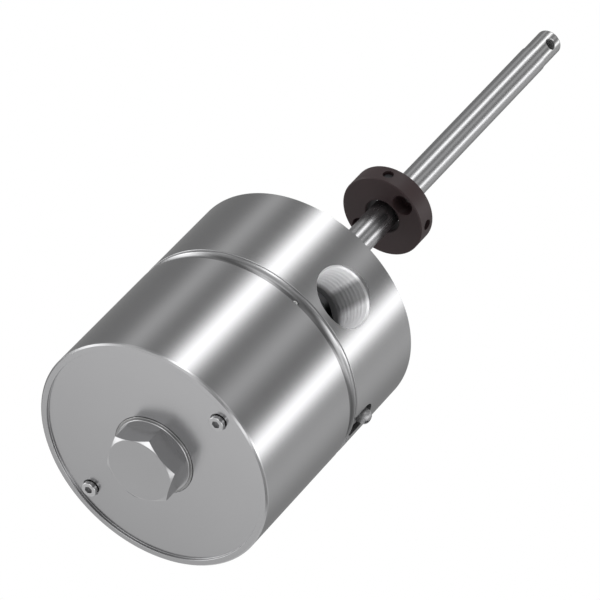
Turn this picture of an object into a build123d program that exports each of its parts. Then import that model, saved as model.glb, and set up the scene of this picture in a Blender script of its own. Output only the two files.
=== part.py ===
from build123d import *
from math import cos, radians, sin, sqrt
import os

# Rod-style magnetostrictive position sensor in a pressure-tight round housing.
# The sensor's axis is +Y. The rod points to +Y and the cover faces -Y.
# The origin is on that axis, in the face of the hexagon that seats on the machine.
# Angles are in degrees about the axis, from +X towards +Z.

# Round housing: a cover and a base of one outer diameter
housing_radius = 43.675
housing_length = 93.83
cover_length = 57.5
outer_edge_chamfer = 0.55
base_front_chamfer = 0.3

# Process fitting: hexagon, sealing face and screwed stem, with a shank into the base
hex_flats = 46.0
hex_thickness = 8.0
hex_corner_bevel = 1.6
stem_thread_radius = 9.0
stem_length = 22.0
stem_undercut_radius = 7.7
stem_undercut_length = 2.6
stem_end_chamfer = 1.0
shank_radius = 12.0
shank_thread_chamfer = 0.6
stem_seal_section = 2.1
stem_seal_recess_depth = 1.3
stem_seal_recess_radius = 10.2

# Cover: front face with a raised rim, plug seat, screw spotfaces, groove near the seam
rim_width = 2.475
rim_depth = 1.0
rim_round = 0.3
rim_root_fillet = 0.4
face_thickness = 7.0
cover_wall = 5.075
cover_corner_fillet = 0.7
groove_front_offset = 4.5
groove_floor_length = 2.0
groove_depth = 1.3
groove_rise_length = 1.12
groove_sweep = 3.4
groove_edge = 0.25
groove_fillet = 0.3
land_drop = 0.35
seam_chamfer = 0.25

# Spigot of the base in the socket of the cover, with its seal
spigot_step = 4.525
spigot_length = 15.0
spigot_wall = 5.15
spigot_fit = 0.05
spigot_chamfer = 0.5
spigot_end_gap = 0.5
cover_seal_section = 1.6
cover_seal_groove_width = 2.4
cover_seal_offset = 7.8
seal_squeeze_gap = 0.03

# Base: inner chamber, floor and cable port
chamber_step = 9.5
base_floor_thickness = 8.0
chamber_front_offset = 1.67
chamber_fillet = 1.5
port_angle = 45.0
port_offset = 13.76
port_bore_radius = 10.6
port_rim_radius = 11.2

# Screw plug in the middle of the cover
plug_flats = 23.55
plug_hex_angle = 15.0
plug_hex_height = 8.35
plug_hex_bevel = 1.07
plug_top_radius = 11.78
plug_flange_radius = 14.1
plug_flange_thickness = 0.45
plug_flange_round = 0.18
plug_thread_radius = 10.0
plug_shank_length = 8.0
plug_neck_radius = 9.2
plug_neck_length = 1.6
plug_end_chamfer = 0.8
plug_fit = 0.05
plug_seal_radius = 14.9
plug_seal_thickness = 1.0
plug_seal_stand = 0.35
plug_seal_round = 0.15
plug_seal_clearance = 0.15
plug_seal_bore_clearance = 0.3

# Cap screws through the cover's face, and the grub screws in its groove
cap_head_radius = 2.75
cap_head_height = 3.0
cap_head_round = 0.3
cap_socket_flats = 2.5
cap_socket_depth = 1.6
cap_shank_radius = 1.5
cap_shank_length = 12.0
face_screw_inset = 3.11
face_screw_angles = (45.0, 225.0)
spotface_radius = 3.15
spotface_depth = 1.14
screw_clearance = 0.15
tapped_clearance = 0.03
grub_radius = 1.0
grub_length = 2.9
grub_socket_flats = 0.9
grub_socket_depth = 1.0
grub_angles = (58.7, 178.7, 298.7)
grub_tip_gap = 0.05

# Outer earth terminal: pocket in the base's front rim, saddle, spring washer and screw
earth_angle = -14.3
earth_offset = 6.9
earth_pocket_radius = 4.6
earth_pocket_depth = 3.9
earth_hole_depth = 8.0
earth_saddle_height = 2.3
earth_saddle_wall = 1.0
earth_saddle_length = 6.4
earth_saddle_width = 6.8
earth_saddle_corner = 1.0
earth_washer_thickness = 0.95
earth_washer_radius = 2.75
earth_washer_split = 0.5
earth_head_radius = 2.7
earth_head_height = 3.2
earth_head_round = 2.2
earth_shank_radius = 1.5
earth_shank_length = 9.5

# Inner earth screw on the ledge inside the base
inner_earth_inset = 4.8
inner_earth_angle = 200.0
inner_earth_shank_radius = 2.0
inner_earth_head_radius = 3.5
inner_earth_head_height = 2.6
inner_earth_shank_length = 8.0

# Ring nut that holds the fitting in the base
nut_radius = 17.0
nut_thickness = 4.0
nut_slots = 4
nut_slot_width = 3.0
nut_slot_depth = 2.0

# Pressure tube of the rod and its end plug
rod_radius = 5.1
rod_bore_radius = 3.6
rod_inlet_length = 16.0
rod_end_y = 167.77
rod_braze_gap = 0.02
end_plug_radius = 4.85
end_plug_length = 13.1
end_plug_round = 0.8
end_plug_shank_length = 3.0
tip_hole_radius = 2.0
tip_hole_offset = 5.3
tip_hole_angle = 45.0
rod_insert_gap = 0.03

# Measuring element inside the rod
guide_tube_radius = 1.6
guide_tube_bore_radius = 1.1
guide_tube_end_gap = 2.65
bush_length = 4.0
bush_count = 4
bush_first_y = 10.0
bush_last_inset = 17.2
bush_fit = 0.03
waveguide_radius = 0.35
return_wire_radius = 0.3
return_wire_offset = 2.55
wire_fit = 0.05
rod_damper_length = 18.5
wire_end_clearance = 1.17

# Sensing head inside the base
head_radius = 11.0
head_length = 24.0
head_bore_radius = 9.2
head_floor_thickness = 3.5
head_edge_round = 0.8
head_neck_length = 3.4
head_fit = 0.05
bobbin_length = 12.0
bobbin_core_radius = 3.0
bobbin_flange_radius = 8.9
bobbin_flange_thickness = 1.2
coil_radius = 7.6
coil_gap = 0.02
head_damper_radius = 4.0
head_damper_length = 6.5
head_cap_thickness = 2.0
board_thickness = 1.6
head_board_radius = 10.5

# Electronics carried behind the cover's face
post_length = 10.0
post_radius = 2.4
carrier_gap = 0.3
carrier_rim_width = 7.3
carrier_hub_radius = 16.0
carrier_hub_bore_radius = 12.0
carrier_thickness = 3.0
carrier_spoke_width = 7.0
standoff_circle_radius = 26.0
standoff_count = 4
standoff_flats = 5.5
standoff_length = 6.0
standoff_stud_length = 2.5
main_board_inset = 5.3
board_screw_radius = 1.5
board_screw_length = 6.0
board_screw_head_radius = 2.8
board_screw_head_height = 2.2
screw_slot_width = 0.8
screw_slot_depth = 0.9

# Terminal block and large parts on the main board
terminal_poles = 8
terminal_pitch = 5.08
terminal_depth = 10.0
terminal_height = 10.0
terminal_z = -14.0
terminal_entry_radius = 1.6
terminal_entry_depth = 6.0
terminal_entry_height = 3.2
terminal_screw_radius = 1.7
terminal_screw_length = 4.0
terminal_screw_sink = 0.6
terminal_screw_clearance = 0.15
processor_side = 14.0
processor_height = 1.6
processor_z = 9.0
capacitor_radius = 4.0
capacitor_height = 10.5
capacitor_round = 0.6
capacitor_x = 15.5
capacitor_z = 14.0

# Magnet ring that slides along the rod
ring_start_y = 47.06
ring_thickness = 8.07
ring_radius = 15.75
ring_bore_radius = 6.55
ring_chamfer = 0.35
ring_screw_circle_radius = 11.3
ring_screw_angles = (45.0, 225.0)
ring_screw_hole_radius = 2.0
ring_counterbore_radius = 3.9
ring_counterbore_depth = 4.9
magnet_angles = (0.0, 90.0, 180.0, 270.0)
magnet_hole_radius = 1.95
magnet_fit = 0.02
magnet_inner_radius = 8.2
magnet_sink = 1.5

# Radii worked out from the housing's own
rim_inner_radius = housing_radius - rim_width
cover_bore_radius = housing_radius - cover_wall
spigot_radius = housing_radius - spigot_step
spigot_bore_radius = spigot_radius - spigot_wall
chamber_radius = spigot_bore_radius - chamber_step
face_screw_circle_radius = cover_bore_radius - face_screw_inset
inner_earth_radius = spigot_bore_radius - inner_earth_inset
carrier_radius = cover_bore_radius - carrier_gap
main_board_radius = carrier_radius - main_board_inset
pocket_floor_radius = housing_radius - earth_pocket_depth

# Stations along the axis, worked out from the sizes above
rear_y = -hex_thickness
front_y = rear_y - housing_length
seam_y = front_y + cover_length
face_y = front_y + rim_depth
face_inner_y = face_y + face_thickness
plug_seat_y = face_y + plug_seal_thickness - plug_seal_stand
plug_flange_y = face_y - plug_seal_stand
base_floor_y = rear_y - base_floor_thickness
ledge_y = seam_y - chamber_front_offset
spigot_front_y = seam_y - spigot_length
port_y = seam_y + port_offset
earth_y = seam_y + earth_offset
shank_end_y = base_floor_y - nut_thickness
head_cup_end_y = shank_end_y - head_length
head_floor_y = shank_end_y - head_floor_thickness
bobbin_end_y = head_floor_y - bobbin_length
end_plug_y = rod_end_y - end_plug_length
wire_end_y = end_plug_y - end_plug_shank_length - wire_end_clearance
rod_damper_end_y = wire_end_y - 2 * return_wire_radius - wire_fit
rod_damper_y = rod_damper_end_y - rod_damper_length
guide_tube_end_y = rod_damper_y - guide_tube_end_gap
carrier_y = face_inner_y + post_length
board_y = carrier_y + carrier_thickness + standoff_length
board_back_y = board_y + board_thickness


def turned(*corners):
    """Solid of revolution about the axis. A corner is (radius, y) or (radius, y, fillet)."""
    points = [corner[:2] for corner in corners]
    fillets = [corner[2] if len(corner) > 2 else 0 for corner in corners]
    outline = FilletPolyline(*points, radius=fillets, close=True)
    return revolve(make_face(outline), Axis.Y)


def rod_between(radius, start_y, end_y, x=0.0, z=0.0):
    """Plain cylinder parallel to the axis."""
    body = Rot(90, 0, 0) * Cylinder(radius, end_y - start_y)
    return Pos(x, (start_y + end_y) / 2, z) * body


def at_angle(angle):
    """Turn from the +X direction to an angle about the axis."""
    return Rot(0, -angle, 0)


def on_circle(radius, angle):
    """The x and z of a point at a radius and an angle."""
    return radius * cos(radians(angle)), radius * sin(radians(angle))


def spoke(radius, inner, outer, angle, y):
    """Plain cylinder whose own axis is radial, between two distances from the sensor's axis."""
    body = Rot(0, 90, 0) * Cylinder(radius, outer - inner)
    return at_angle(angle) * Pos((inner + outer) / 2, y, 0) * body


def hexagon(flats, start_y, end_y, corner_angle=0.0):
    """Hexagonal prism along the axis with a corner at the given angle."""
    outline = Rot(0, 0, -corner_angle) * RegularPolygon(flats / 2, 6, major_radius=False)
    return Pos(0, start_y, 0) * Rot(-90, 0, 0) * extrude(outline, end_y - start_y)


def slotted_pan_head_screw(head_radius, head_height, shank_radius, shank_length):
    """Pan-head screw along +Y, with its seat at y = 0 and its slot in the head."""
    screw = turned(
        (0, -head_height),
        (head_radius, -head_height, head_height / 2),
        (head_radius, 0),
        (shank_radius, 0),
        (shank_radius, shank_length),
        (0, shank_length),
    )
    slot = Box(3 * head_radius, 2 * screw_slot_depth, screw_slot_width)
    return screw - Pos(0, -head_height, 0) * slot


def cap_screw():
    """Socket-head cap screw along +Y, with its seat at y = 0."""
    screw = turned(
        (0, -cap_head_height),
        (cap_head_radius, -cap_head_height, cap_head_round),
        (cap_head_radius, 0),
        (cap_shank_radius, 0),
        (cap_shank_radius, cap_shank_length),
        (0, cap_shank_length),
    )
    socket_end_y = cap_socket_depth - cap_head_height
    return screw - hexagon(cap_socket_flats, -2 * cap_head_height, socket_end_y)


def make_cover():
    """Cup turned from bar, with the raised rim, the plug seat and the groove near the seam."""
    groove_y = seam_y - groove_front_offset
    groove_floor_radius = housing_radius - groove_depth
    land_radius = housing_radius - land_drop
    groove_end_y = groove_y + groove_edge + groove_floor_length
    socket_radius = spigot_radius + spigot_fit
    socket_end_y = spigot_front_y - spigot_end_gap
    cup = turned(
        (plug_thread_radius + plug_fit, face_inner_y),
        (plug_thread_radius + plug_fit, plug_seat_y),
        (plug_seal_radius + plug_seal_clearance, plug_seat_y),
        (plug_seal_radius + plug_seal_clearance, face_y),
        (rim_inner_radius, face_y, rim_root_fillet),
        (rim_inner_radius, front_y, rim_round),
        (housing_radius - outer_edge_chamfer, front_y),
        (housing_radius, front_y + outer_edge_chamfer),
        (housing_radius, groove_y - groove_edge),
        (housing_radius - groove_edge, groove_y),
        (groove_floor_radius, groove_y + groove_edge, groove_fillet),
        (groove_floor_radius, groove_end_y, groove_sweep),
        (land_radius, groove_end_y + groove_rise_length, groove_fillet),
        (land_radius, seam_y - seam_chamfer),
        (land_radius - seam_chamfer, seam_y),
        (socket_radius + spigot_chamfer, seam_y),
        (socket_radius, seam_y - spigot_chamfer),
        (socket_radius, socket_end_y),
        (cover_bore_radius, socket_end_y),
        (cover_bore_radius, face_inner_y, cover_corner_fillet),
    )
    for angle in face_screw_angles:
        x, z = on_circle(face_screw_circle_radius, angle)
        cup -= rod_between(spotface_radius, front_y, face_y + spotface_depth, x, z)
        cup -= rod_between(cap_shank_radius + screw_clearance, front_y, face_inner_y, x, z)
    grub_y = groove_y + groove_edge + groove_floor_length / 2
    for angle in grub_angles:
        cup -= spoke(grub_radius + tapped_clearance, spigot_bore_radius, housing_radius, angle, grub_y)
    return cup


def make_face_screws():
    """Two cap screws that draw the electronics carrier against the cover's face."""
    places = [on_circle(face_screw_circle_radius, angle) for angle in face_screw_angles]
    return [Pos(x, face_y + spotface_depth, z) * cap_screw() for x, z in places]


def make_locking_screws():
    """Three grub screws in the groove that lock the cover on the spigot."""
    grub_y = seam_y - groove_front_offset + groove_edge + groove_floor_length / 2
    tip = spigot_radius + grub_tip_gap
    screws = []
    for angle in grub_angles:
        screw = spoke(grub_radius, tip, tip + grub_length, angle, grub_y)
        socket = Rot(0, 0, -90) * hexagon(grub_socket_flats, 0, 2 * grub_socket_depth)
        depth = tip + grub_length - grub_socket_depth
        screws.append(screw - at_angle(angle) * Pos(depth, grub_y, 0) * socket)
    return screws


def make_cover_seal():
    """O-ring in the spigot's groove, lying against the cover's socket."""
    centre = spigot_radius + spigot_fit - seal_squeeze_gap - cover_seal_section / 2
    section = Pos(centre, seam_y - cover_seal_offset) * Circle(cover_seal_section / 2)
    return revolve(section, Axis.Y)


def make_screw_plug():
    """Hexagon plug with a thin flange, a run-out neck and a threaded shank."""
    flange_top_y = plug_flange_y - plug_flange_thickness
    hex_top_y = flange_top_y - plug_hex_height
    corner_radius = plug_flats / sqrt(3)
    bevelled = turned(
        (0, hex_top_y),
        (plug_top_radius, hex_top_y),
        (corner_radius, hex_top_y + plug_hex_bevel),
        (corner_radius, flange_top_y),
        (0, flange_top_y),
    )
    head = hexagon(plug_flats, hex_top_y, flange_top_y, plug_hex_angle) & bevelled
    shank_end = plug_flange_y + plug_shank_length
    neck_end = plug_seat_y + plug_neck_length
    stem = turned(
        (0, flange_top_y),
        (plug_flange_radius, flange_top_y, plug_flange_round),
        (plug_flange_radius, plug_flange_y),
        (plug_neck_radius, plug_flange_y),
        (plug_neck_radius, neck_end),
        (plug_thread_radius, neck_end + plug_thread_radius - plug_neck_radius),
        (plug_thread_radius, shank_end - plug_end_chamfer),
        (plug_thread_radius - plug_end_chamfer, shank_end),
        (0, shank_end),
    )
    return head + stem


def make_plug_seal():
    """Flat ring under the plug's flange, let into the cover's face."""
    bore = plug_thread_radius + plug_seal_bore_clearance
    return turned(
        (bore, plug_flange_y),
        (plug_seal_radius, plug_flange_y, plug_seal_round),
        (plug_seal_radius, plug_seat_y),
        (bore, plug_seat_y),
    )


def make_base():
    """Turned base with the spigot, the inner chamber, the cable port and the earth pocket."""
    fitting_hole = shank_radius + tapped_clearance
    seal_y = seam_y - cover_seal_offset
    seal_floor = spigot_radius + spigot_fit - 2 * seal_squeeze_gap - cover_seal_section
    half_groove = cover_seal_groove_width / 2
    base = turned(
        (fitting_hole, base_floor_y),
        (chamber_radius, base_floor_y, chamber_fillet),
        (chamber_radius, ledge_y),
        (spigot_bore_radius, ledge_y),
        (spigot_bore_radius, spigot_front_y),
        (spigot_radius - spigot_chamfer, spigot_front_y),
        (spigot_radius, spigot_front_y + spigot_chamfer),
        (spigot_radius, seal_y - half_groove),
        (seal_floor, seal_y - half_groove),
        (seal_floor, seal_y + half_groove),
        (spigot_radius, seal_y + half_groove),
        (spigot_radius, seam_y),
        (housing_radius - base_front_chamfer, seam_y),
        (housing_radius, seam_y + base_front_chamfer),
        (housing_radius, rear_y - outer_edge_chamfer),
        (housing_radius - outer_edge_chamfer, rear_y),
        (fitting_hole, rear_y),
    )
    base -= spoke(port_bore_radius, 0, housing_radius + 1, port_angle, port_y)
    base -= port_countersink()
    base -= earth_pocket()
    hole_bottom = pocket_floor_radius - earth_hole_depth
    hole_radius = earth_shank_radius + tapped_clearance
    base -= spoke(hole_radius, hole_bottom, housing_radius, earth_angle, earth_y)
    x, z = on_circle(inner_earth_radius, inner_earth_angle)
    hole_radius = inner_earth_shank_radius + tapped_clearance
    hole_end_y = ledge_y + inner_earth_shank_length + 2 * tapped_clearance
    base -= rod_between(hole_radius, ledge_y, hole_end_y, x, z)
    return base


def port_countersink():
    """Cone that breaks the edge where the cable port meets the round housing."""
    depth = port_rim_radius - port_bore_radius
    flank = sqrt(housing_radius**2 - port_rim_radius**2)
    cone = Rot(0, 90, 0) * Cone(port_bore_radius, port_rim_radius, depth)
    lead = Rot(0, 90, 0) * Cylinder(port_rim_radius, housing_radius - flank + depth)
    tool = Pos(flank - depth / 2, port_y, 0) * cone
    tool += Pos(flank + (housing_radius - flank + depth) / 2, port_y, 0) * lead
    return at_angle(port_angle) * tool


def earth_pocket():
    """Flat-bottomed pocket with a round end, open to the base's front rim."""
    height = earth_pocket_depth + 1
    middle = pocket_floor_radius + height / 2
    round_end = Pos(middle, earth_y, 0) * Rot(0, 90, 0) * Cylinder(earth_pocket_radius, height)
    run = earth_y - seam_y
    straight = Pos(middle, earth_y - run / 2, 0) * Box(height, run, 2 * earth_pocket_radius)
    return at_angle(earth_angle) * (round_end + straight)


def make_earth_saddle():
    """Bent saddle that clamps an earth lead on the pocket's floor."""
    outline = RectangleRounded(earth_saddle_length, earth_saddle_width, earth_saddle_corner)
    block = extrude(outline, earth_saddle_height)
    channel_width = earth_saddle_width - 2 * earth_saddle_wall
    channel_height = 2 * (earth_saddle_height - earth_saddle_wall)
    block -= Box(2 * earth_saddle_length, channel_width, channel_height)
    block -= Cylinder(earth_shank_radius + screw_clearance, 4 * earth_saddle_height)
    standing = Rot(0, 90, 0) * (Rot(0, 0, 90) * block)
    return at_angle(earth_angle) * Pos(pocket_floor_radius, earth_y, 0) * standing


def make_earth_washer():
    """Split spring washer between the saddle and the earth screw's head."""
    inner = pocket_floor_radius + earth_saddle_height
    outer = inner + earth_washer_thickness
    washer = spoke(earth_washer_radius, inner, outer, earth_angle, earth_y)
    washer -= spoke(earth_shank_radius + screw_clearance, inner, outer, earth_angle, earth_y)
    gap = Box(4 * earth_washer_thickness, earth_washer_split, 2 * earth_washer_radius)
    gap = Pos(inner, earth_y, -earth_washer_radius) * gap
    return washer - at_angle(earth_angle) * gap


def make_earth_screw():
    """Round-head screw whose axis is radial; its domed head stands proud of the housing."""
    screw = turned(
        (0, -earth_head_height),
        (earth_head_radius, -earth_head_height, earth_head_round),
        (earth_head_radius, 0),
        (earth_shank_radius, 0),
        (earth_shank_radius, earth_shank_length),
        (0, earth_shank_length),
    )
    slot = Box(3 * earth_head_radius, 2 * screw_slot_depth, screw_slot_width)
    screw -= Pos(0, -earth_head_height, 0) * slot
    seat = pocket_floor_radius + earth_saddle_height + earth_washer_thickness
    return at_angle(earth_angle) * Pos(seat, earth_y, 0) * Rot(0, 0, 90) * screw


def make_inner_earth_screw():
    """Earth screw for the cable's own earth lead, on the ledge inside the base."""
    x, z = on_circle(inner_earth_radius, inner_earth_angle)
    screw = slotted_pan_head_screw(
        inner_earth_head_radius,
        inner_earth_head_height,
        inner_earth_shank_radius,
        inner_earth_shank_length,
    )
    return Pos(x, ledge_y, z) * screw


def make_fitting():
    """One turned piece: shank, hexagon with bevelled corners, sealing recess and screwed stem."""
    corner_radius = hex_flats / sqrt(3)
    bevel_radius = hex_flats / 2 - hex_corner_bevel / 4
    envelope = turned(
        (0, rear_y),
        (bevel_radius, rear_y),
        (corner_radius, rear_y + hex_corner_bevel),
        (corner_radius, -hex_corner_bevel),
        (bevel_radius, 0),
        (0, 0),
    )
    body = hexagon(hex_flats, rear_y, 0) & envelope
    shank_length = rear_y - shank_end_y
    body += rod_between(shank_radius, rear_y - shank_length, rear_y)
    body -= ring_between(stem_seal_recess_radius, stem_undercut_radius, -stem_seal_recess_depth, 0)
    thread_start = stem_undercut_length + stem_thread_radius - stem_undercut_radius
    stem = turned(
        (0, -stem_seal_recess_depth),
        (stem_undercut_radius, -stem_seal_recess_depth),
        (stem_undercut_radius, stem_undercut_length),
        (stem_thread_radius, thread_start),
        (stem_thread_radius, stem_length - stem_end_chamfer),
        (stem_thread_radius - stem_end_chamfer, stem_length),
        (0, stem_length),
    )
    body += stem
    return body - rod_between(rod_radius + rod_braze_gap, shank_end_y, stem_length)


def ring_between(outer, inner, start_y, end_y):
    """Plain ring about the axis."""
    return rod_between(outer, start_y, end_y) - rod_between(inner, start_y, end_y)


def make_fitting_seal():
    """O-ring at the root of the stem, partly sunk in the hexagon's face."""
    centre = stem_undercut_radius + seal_squeeze_gap + stem_seal_section / 2
    centre_y = stem_seal_section / 2 - stem_seal_recess_depth + seal_squeeze_gap
    return revolve(Pos(centre, centre_y) * Circle(stem_seal_section / 2), Axis.Y)


def make_ring_nut():
    """Slotted ring nut on the shank, against the floor inside the base."""
    nut = ring_between(nut_radius, shank_radius + tapped_clearance, shank_end_y, base_floor_y)
    for index in range(nut_slots):
        slot = Box(2 * nut_slot_depth, 2 * nut_thickness, nut_slot_width)
        nut -= at_angle(index * 360 / nut_slots) * Pos(nut_radius, shank_end_y, 0) * slot
    return nut


def make_rod_tube():
    """Seamless pressure tube, brazed into the fitting."""
    return ring_between(rod_radius, rod_bore_radius, -rod_inlet_length, end_plug_y)


def make_end_plug():
    """Plug welded in the tube's end, with a rounded tip and a cross hole."""
    shank = rod_bore_radius - rod_insert_gap
    plug = turned(
        (0, end_plug_y - end_plug_shank_length),
        (shank, end_plug_y - end_plug_shank_length),
        (shank, end_plug_y),
        (end_plug_radius, end_plug_y),
        (end_plug_radius, rod_end_y, end_plug_round),
        (0, rod_end_y),
    )
    reach = 2 * end_plug_radius
    return plug - spoke(tip_hole_radius, -reach, reach, tip_hole_angle, rod_end_y - tip_hole_offset)


def return_wire_bore(start_y, end_y):
    """Passage for the return wire beside the guide tube."""
    return rod_between(return_wire_radius + wire_fit, start_y, end_y, 0, -return_wire_offset)


def make_guide_tube():
    """Thin tube that keeps the waveguide straight."""
    start = bobbin_end_y + bobbin_flange_thickness
    return ring_between(guide_tube_radius, guide_tube_bore_radius, start, guide_tube_end_y)


def make_guide_bushes():
    """Bushes that centre the guide tube in the rod."""
    pitch = (guide_tube_end_y - bush_last_inset - bush_first_y) / (bush_count - 1)
    bushes = []
    for index in range(bush_count):
        start = bush_first_y + index * pitch
        end = start + bush_length
        bush = ring_between(rod_bore_radius - bush_fit, guide_tube_radius + bush_fit, start, end)
        bushes.append(bush - return_wire_bore(start, end))
    return bushes


def make_waveguide():
    """Magnetostrictive wire from the head's damper to the end of the rod."""
    start = bobbin_end_y - head_damper_length
    return rod_between(waveguide_radius, start, wire_end_y - 2 * return_wire_radius)


def make_return_wire():
    """Return conductor, bent in to the waveguide's end."""
    start = head_floor_y + wire_fit
    straight = rod_between(return_wire_radius, start, wire_end_y, 0, -return_wire_offset)
    arm = Cylinder(return_wire_radius, return_wire_offset)
    arm_y = wire_end_y - return_wire_radius
    return straight + Pos(0, arm_y, -return_wire_offset / 2) * arm


def make_rod_damper():
    """Soft sleeve that absorbs the wave at the far end."""
    bore = waveguide_radius + wire_fit
    sleeve = ring_between(rod_bore_radius - bush_fit, bore, rod_damper_y, rod_damper_end_y)
    return sleeve - return_wire_bore(rod_damper_y, rod_damper_end_y)


def make_head_housing():
    """Moulded cup on the fitting's shank, with a neck in the rod's bore."""
    neck = rod_radius + rod_braze_gap - head_fit
    bore = guide_tube_radius + bush_fit
    cup = turned(
        (bore, shank_end_y + head_neck_length),
        (neck, shank_end_y + head_neck_length),
        (neck, shank_end_y),
        (head_radius, shank_end_y, head_edge_round),
        (head_radius, head_cup_end_y),
        (head_bore_radius, head_cup_end_y),
        (head_bore_radius, head_floor_y),
        (bore, head_floor_y),
    )
    return cup - return_wire_bore(head_floor_y, shank_end_y + head_neck_length)


def make_bobbin():
    """Flanged bobbin of the pickup coil, on the cup's floor."""
    bore = guide_tube_radius + bush_fit
    return turned(
        (bore, head_floor_y),
        (bobbin_flange_radius, head_floor_y),
        (bobbin_flange_radius, head_floor_y - bobbin_flange_thickness),
        (bobbin_core_radius, head_floor_y - bobbin_flange_thickness),
        (bobbin_core_radius, bobbin_end_y + bobbin_flange_thickness),
        (bobbin_flange_radius, bobbin_end_y + bobbin_flange_thickness),
        (bobbin_flange_radius, bobbin_end_y),
        (bore, bobbin_end_y),
    )


def make_coil():
    """Winding between the bobbin's flanges."""
    start = bobbin_end_y + bobbin_flange_thickness + coil_gap
    end = head_floor_y - bobbin_flange_thickness - coil_gap
    return ring_between(coil_radius, bobbin_core_radius + coil_gap, start, end)


def make_head_damper():
    """Rubber block that holds and damps the near end of the waveguide."""
    start = bobbin_end_y - head_damper_length
    return ring_between(head_damper_radius, waveguide_radius + wire_fit, start, bobbin_end_y)


def make_head_cap():
    """Cap pressed in the cup, up to the damper."""
    lid = rod_between(head_radius, head_cup_end_y - head_cap_thickness, head_cup_end_y)
    plug_end = bobbin_end_y - head_damper_length
    return lid + rod_between(head_bore_radius - head_fit, head_cup_end_y, plug_end)


def make_head_board():
    """Small amplifier board on the cap."""
    end = head_cup_end_y - head_cap_thickness
    return rod_between(head_board_radius, end - board_thickness, end)


def make_carrier():
    """Moulded wheel with two posts that take the face screws, and four spokes."""
    end = carrier_y + carrier_thickness
    wheel = ring_between(carrier_radius, carrier_radius - carrier_rim_width, carrier_y, end)
    wheel += ring_between(carrier_hub_radius, carrier_hub_bore_radius, carrier_y, end)
    inner = (carrier_hub_radius + carrier_hub_bore_radius) / 2
    outer = carrier_radius - carrier_rim_width / 2
    for index in range(standoff_count):
        arm = Box(outer - inner, carrier_thickness, carrier_spoke_width)
        middle = Pos((inner + outer) / 2, carrier_y + carrier_thickness / 2, 0)
        wheel += at_angle(index * 360 / standoff_count) * middle * arm
    hole_radius = cap_shank_radius + tapped_clearance
    for angle in face_screw_angles:
        x, z = on_circle(face_screw_circle_radius, angle)
        wheel += rod_between(post_radius, face_inner_y, carrier_y, x, z)
        wheel -= rod_between(hole_radius, face_inner_y, end, x, z)
    for x, z in standoff_places():
        wheel -= rod_between(board_screw_radius + tapped_clearance, carrier_y, end, x, z)
    return wheel


def standoff_places():
    """The x and z of each standoff."""
    angles = [index * 360 / standoff_count for index in range(standoff_count)]
    return [on_circle(standoff_circle_radius, angle) for angle in angles]


def make_standoffs():
    """Hexagon standoffs, screwed in the spokes, tapped for the board screws."""
    start = carrier_y + carrier_thickness
    standoffs = []
    for x, z in standoff_places():
        post = Pos(x, 0, z) * hexagon(standoff_flats, start, board_y)
        post += rod_between(board_screw_radius, start - standoff_stud_length, start, x, z)
        bore_y = board_back_y - board_screw_length
        standoffs.append(post - rod_between(board_screw_radius + tapped_clearance, bore_y, board_y, x, z))
    return standoffs


def make_main_board():
    """Round circuit board with four screw holes."""
    board = rod_between(main_board_radius, board_y, board_back_y)
    for x, z in standoff_places():
        board -= rod_between(board_screw_radius + screw_clearance, board_y, board_back_y, x, z)
    return board


def make_board_screws():
    """Pan-head screws that hold the board on its standoffs."""
    length = board_screw_length
    screw = slotted_pan_head_screw(board_screw_head_radius, board_screw_head_height, board_screw_radius, length)
    return [Pos(x, board_back_y, z) * Rot(180, 0, 0) * screw for x, z in standoff_places()]


def pole_places():
    """The x of each pole of the terminal block."""
    middle = (terminal_poles - 1) / 2
    return [(index - middle) * terminal_pitch for index in range(terminal_poles)]


def make_terminal_block():
    """Screw terminal block on the back of the board, with wire entries and screw wells."""
    width = terminal_poles * terminal_pitch
    middle_y = board_back_y + terminal_height / 2
    block = Pos(0, middle_y, terminal_z) * Box(width, terminal_height, terminal_depth)
    well = terminal_screw_length + terminal_screw_sink
    block_end = board_back_y + terminal_height
    entry_y = board_back_y + terminal_entry_height
    entry_z = terminal_z - terminal_depth / 2 + terminal_entry_depth / 2
    for x in pole_places():
        block -= Pos(x, entry_y, entry_z) * Cylinder(terminal_entry_radius, terminal_entry_depth)
        radius = terminal_screw_radius + terminal_screw_clearance
        block -= rod_between(radius, block_end - well, block_end, x, terminal_z)
    return block


def make_terminal_screws():
    """Slotted clamping screws in the terminal block's wells."""
    top = board_back_y + terminal_height - terminal_screw_sink
    screws = []
    for x in pole_places():
        screw = rod_between(terminal_screw_radius, top - terminal_screw_length, top, x, terminal_z)
        slot = Box(4 * terminal_screw_radius, 2 * screw_slot_depth, screw_slot_width)
        screws.append(screw - Pos(x, top, terminal_z) * slot)
    return screws


def make_board_parts():
    """Processor and two smoothing capacitors on the back of the board."""
    middle_y = board_back_y + processor_height / 2
    processor = Pos(0, middle_y, processor_z) * Box(processor_side, processor_height, processor_side)
    can = turned(
        (0, board_back_y),
        (capacitor_radius, board_back_y),
        (capacitor_radius, board_back_y + capacitor_height, capacitor_round),
        (0, board_back_y + capacitor_height),
    )
    cans = [Pos(side * capacitor_x, 0, capacitor_z) * can for side in (-1, 1)]
    return [processor, *cans]


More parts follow.
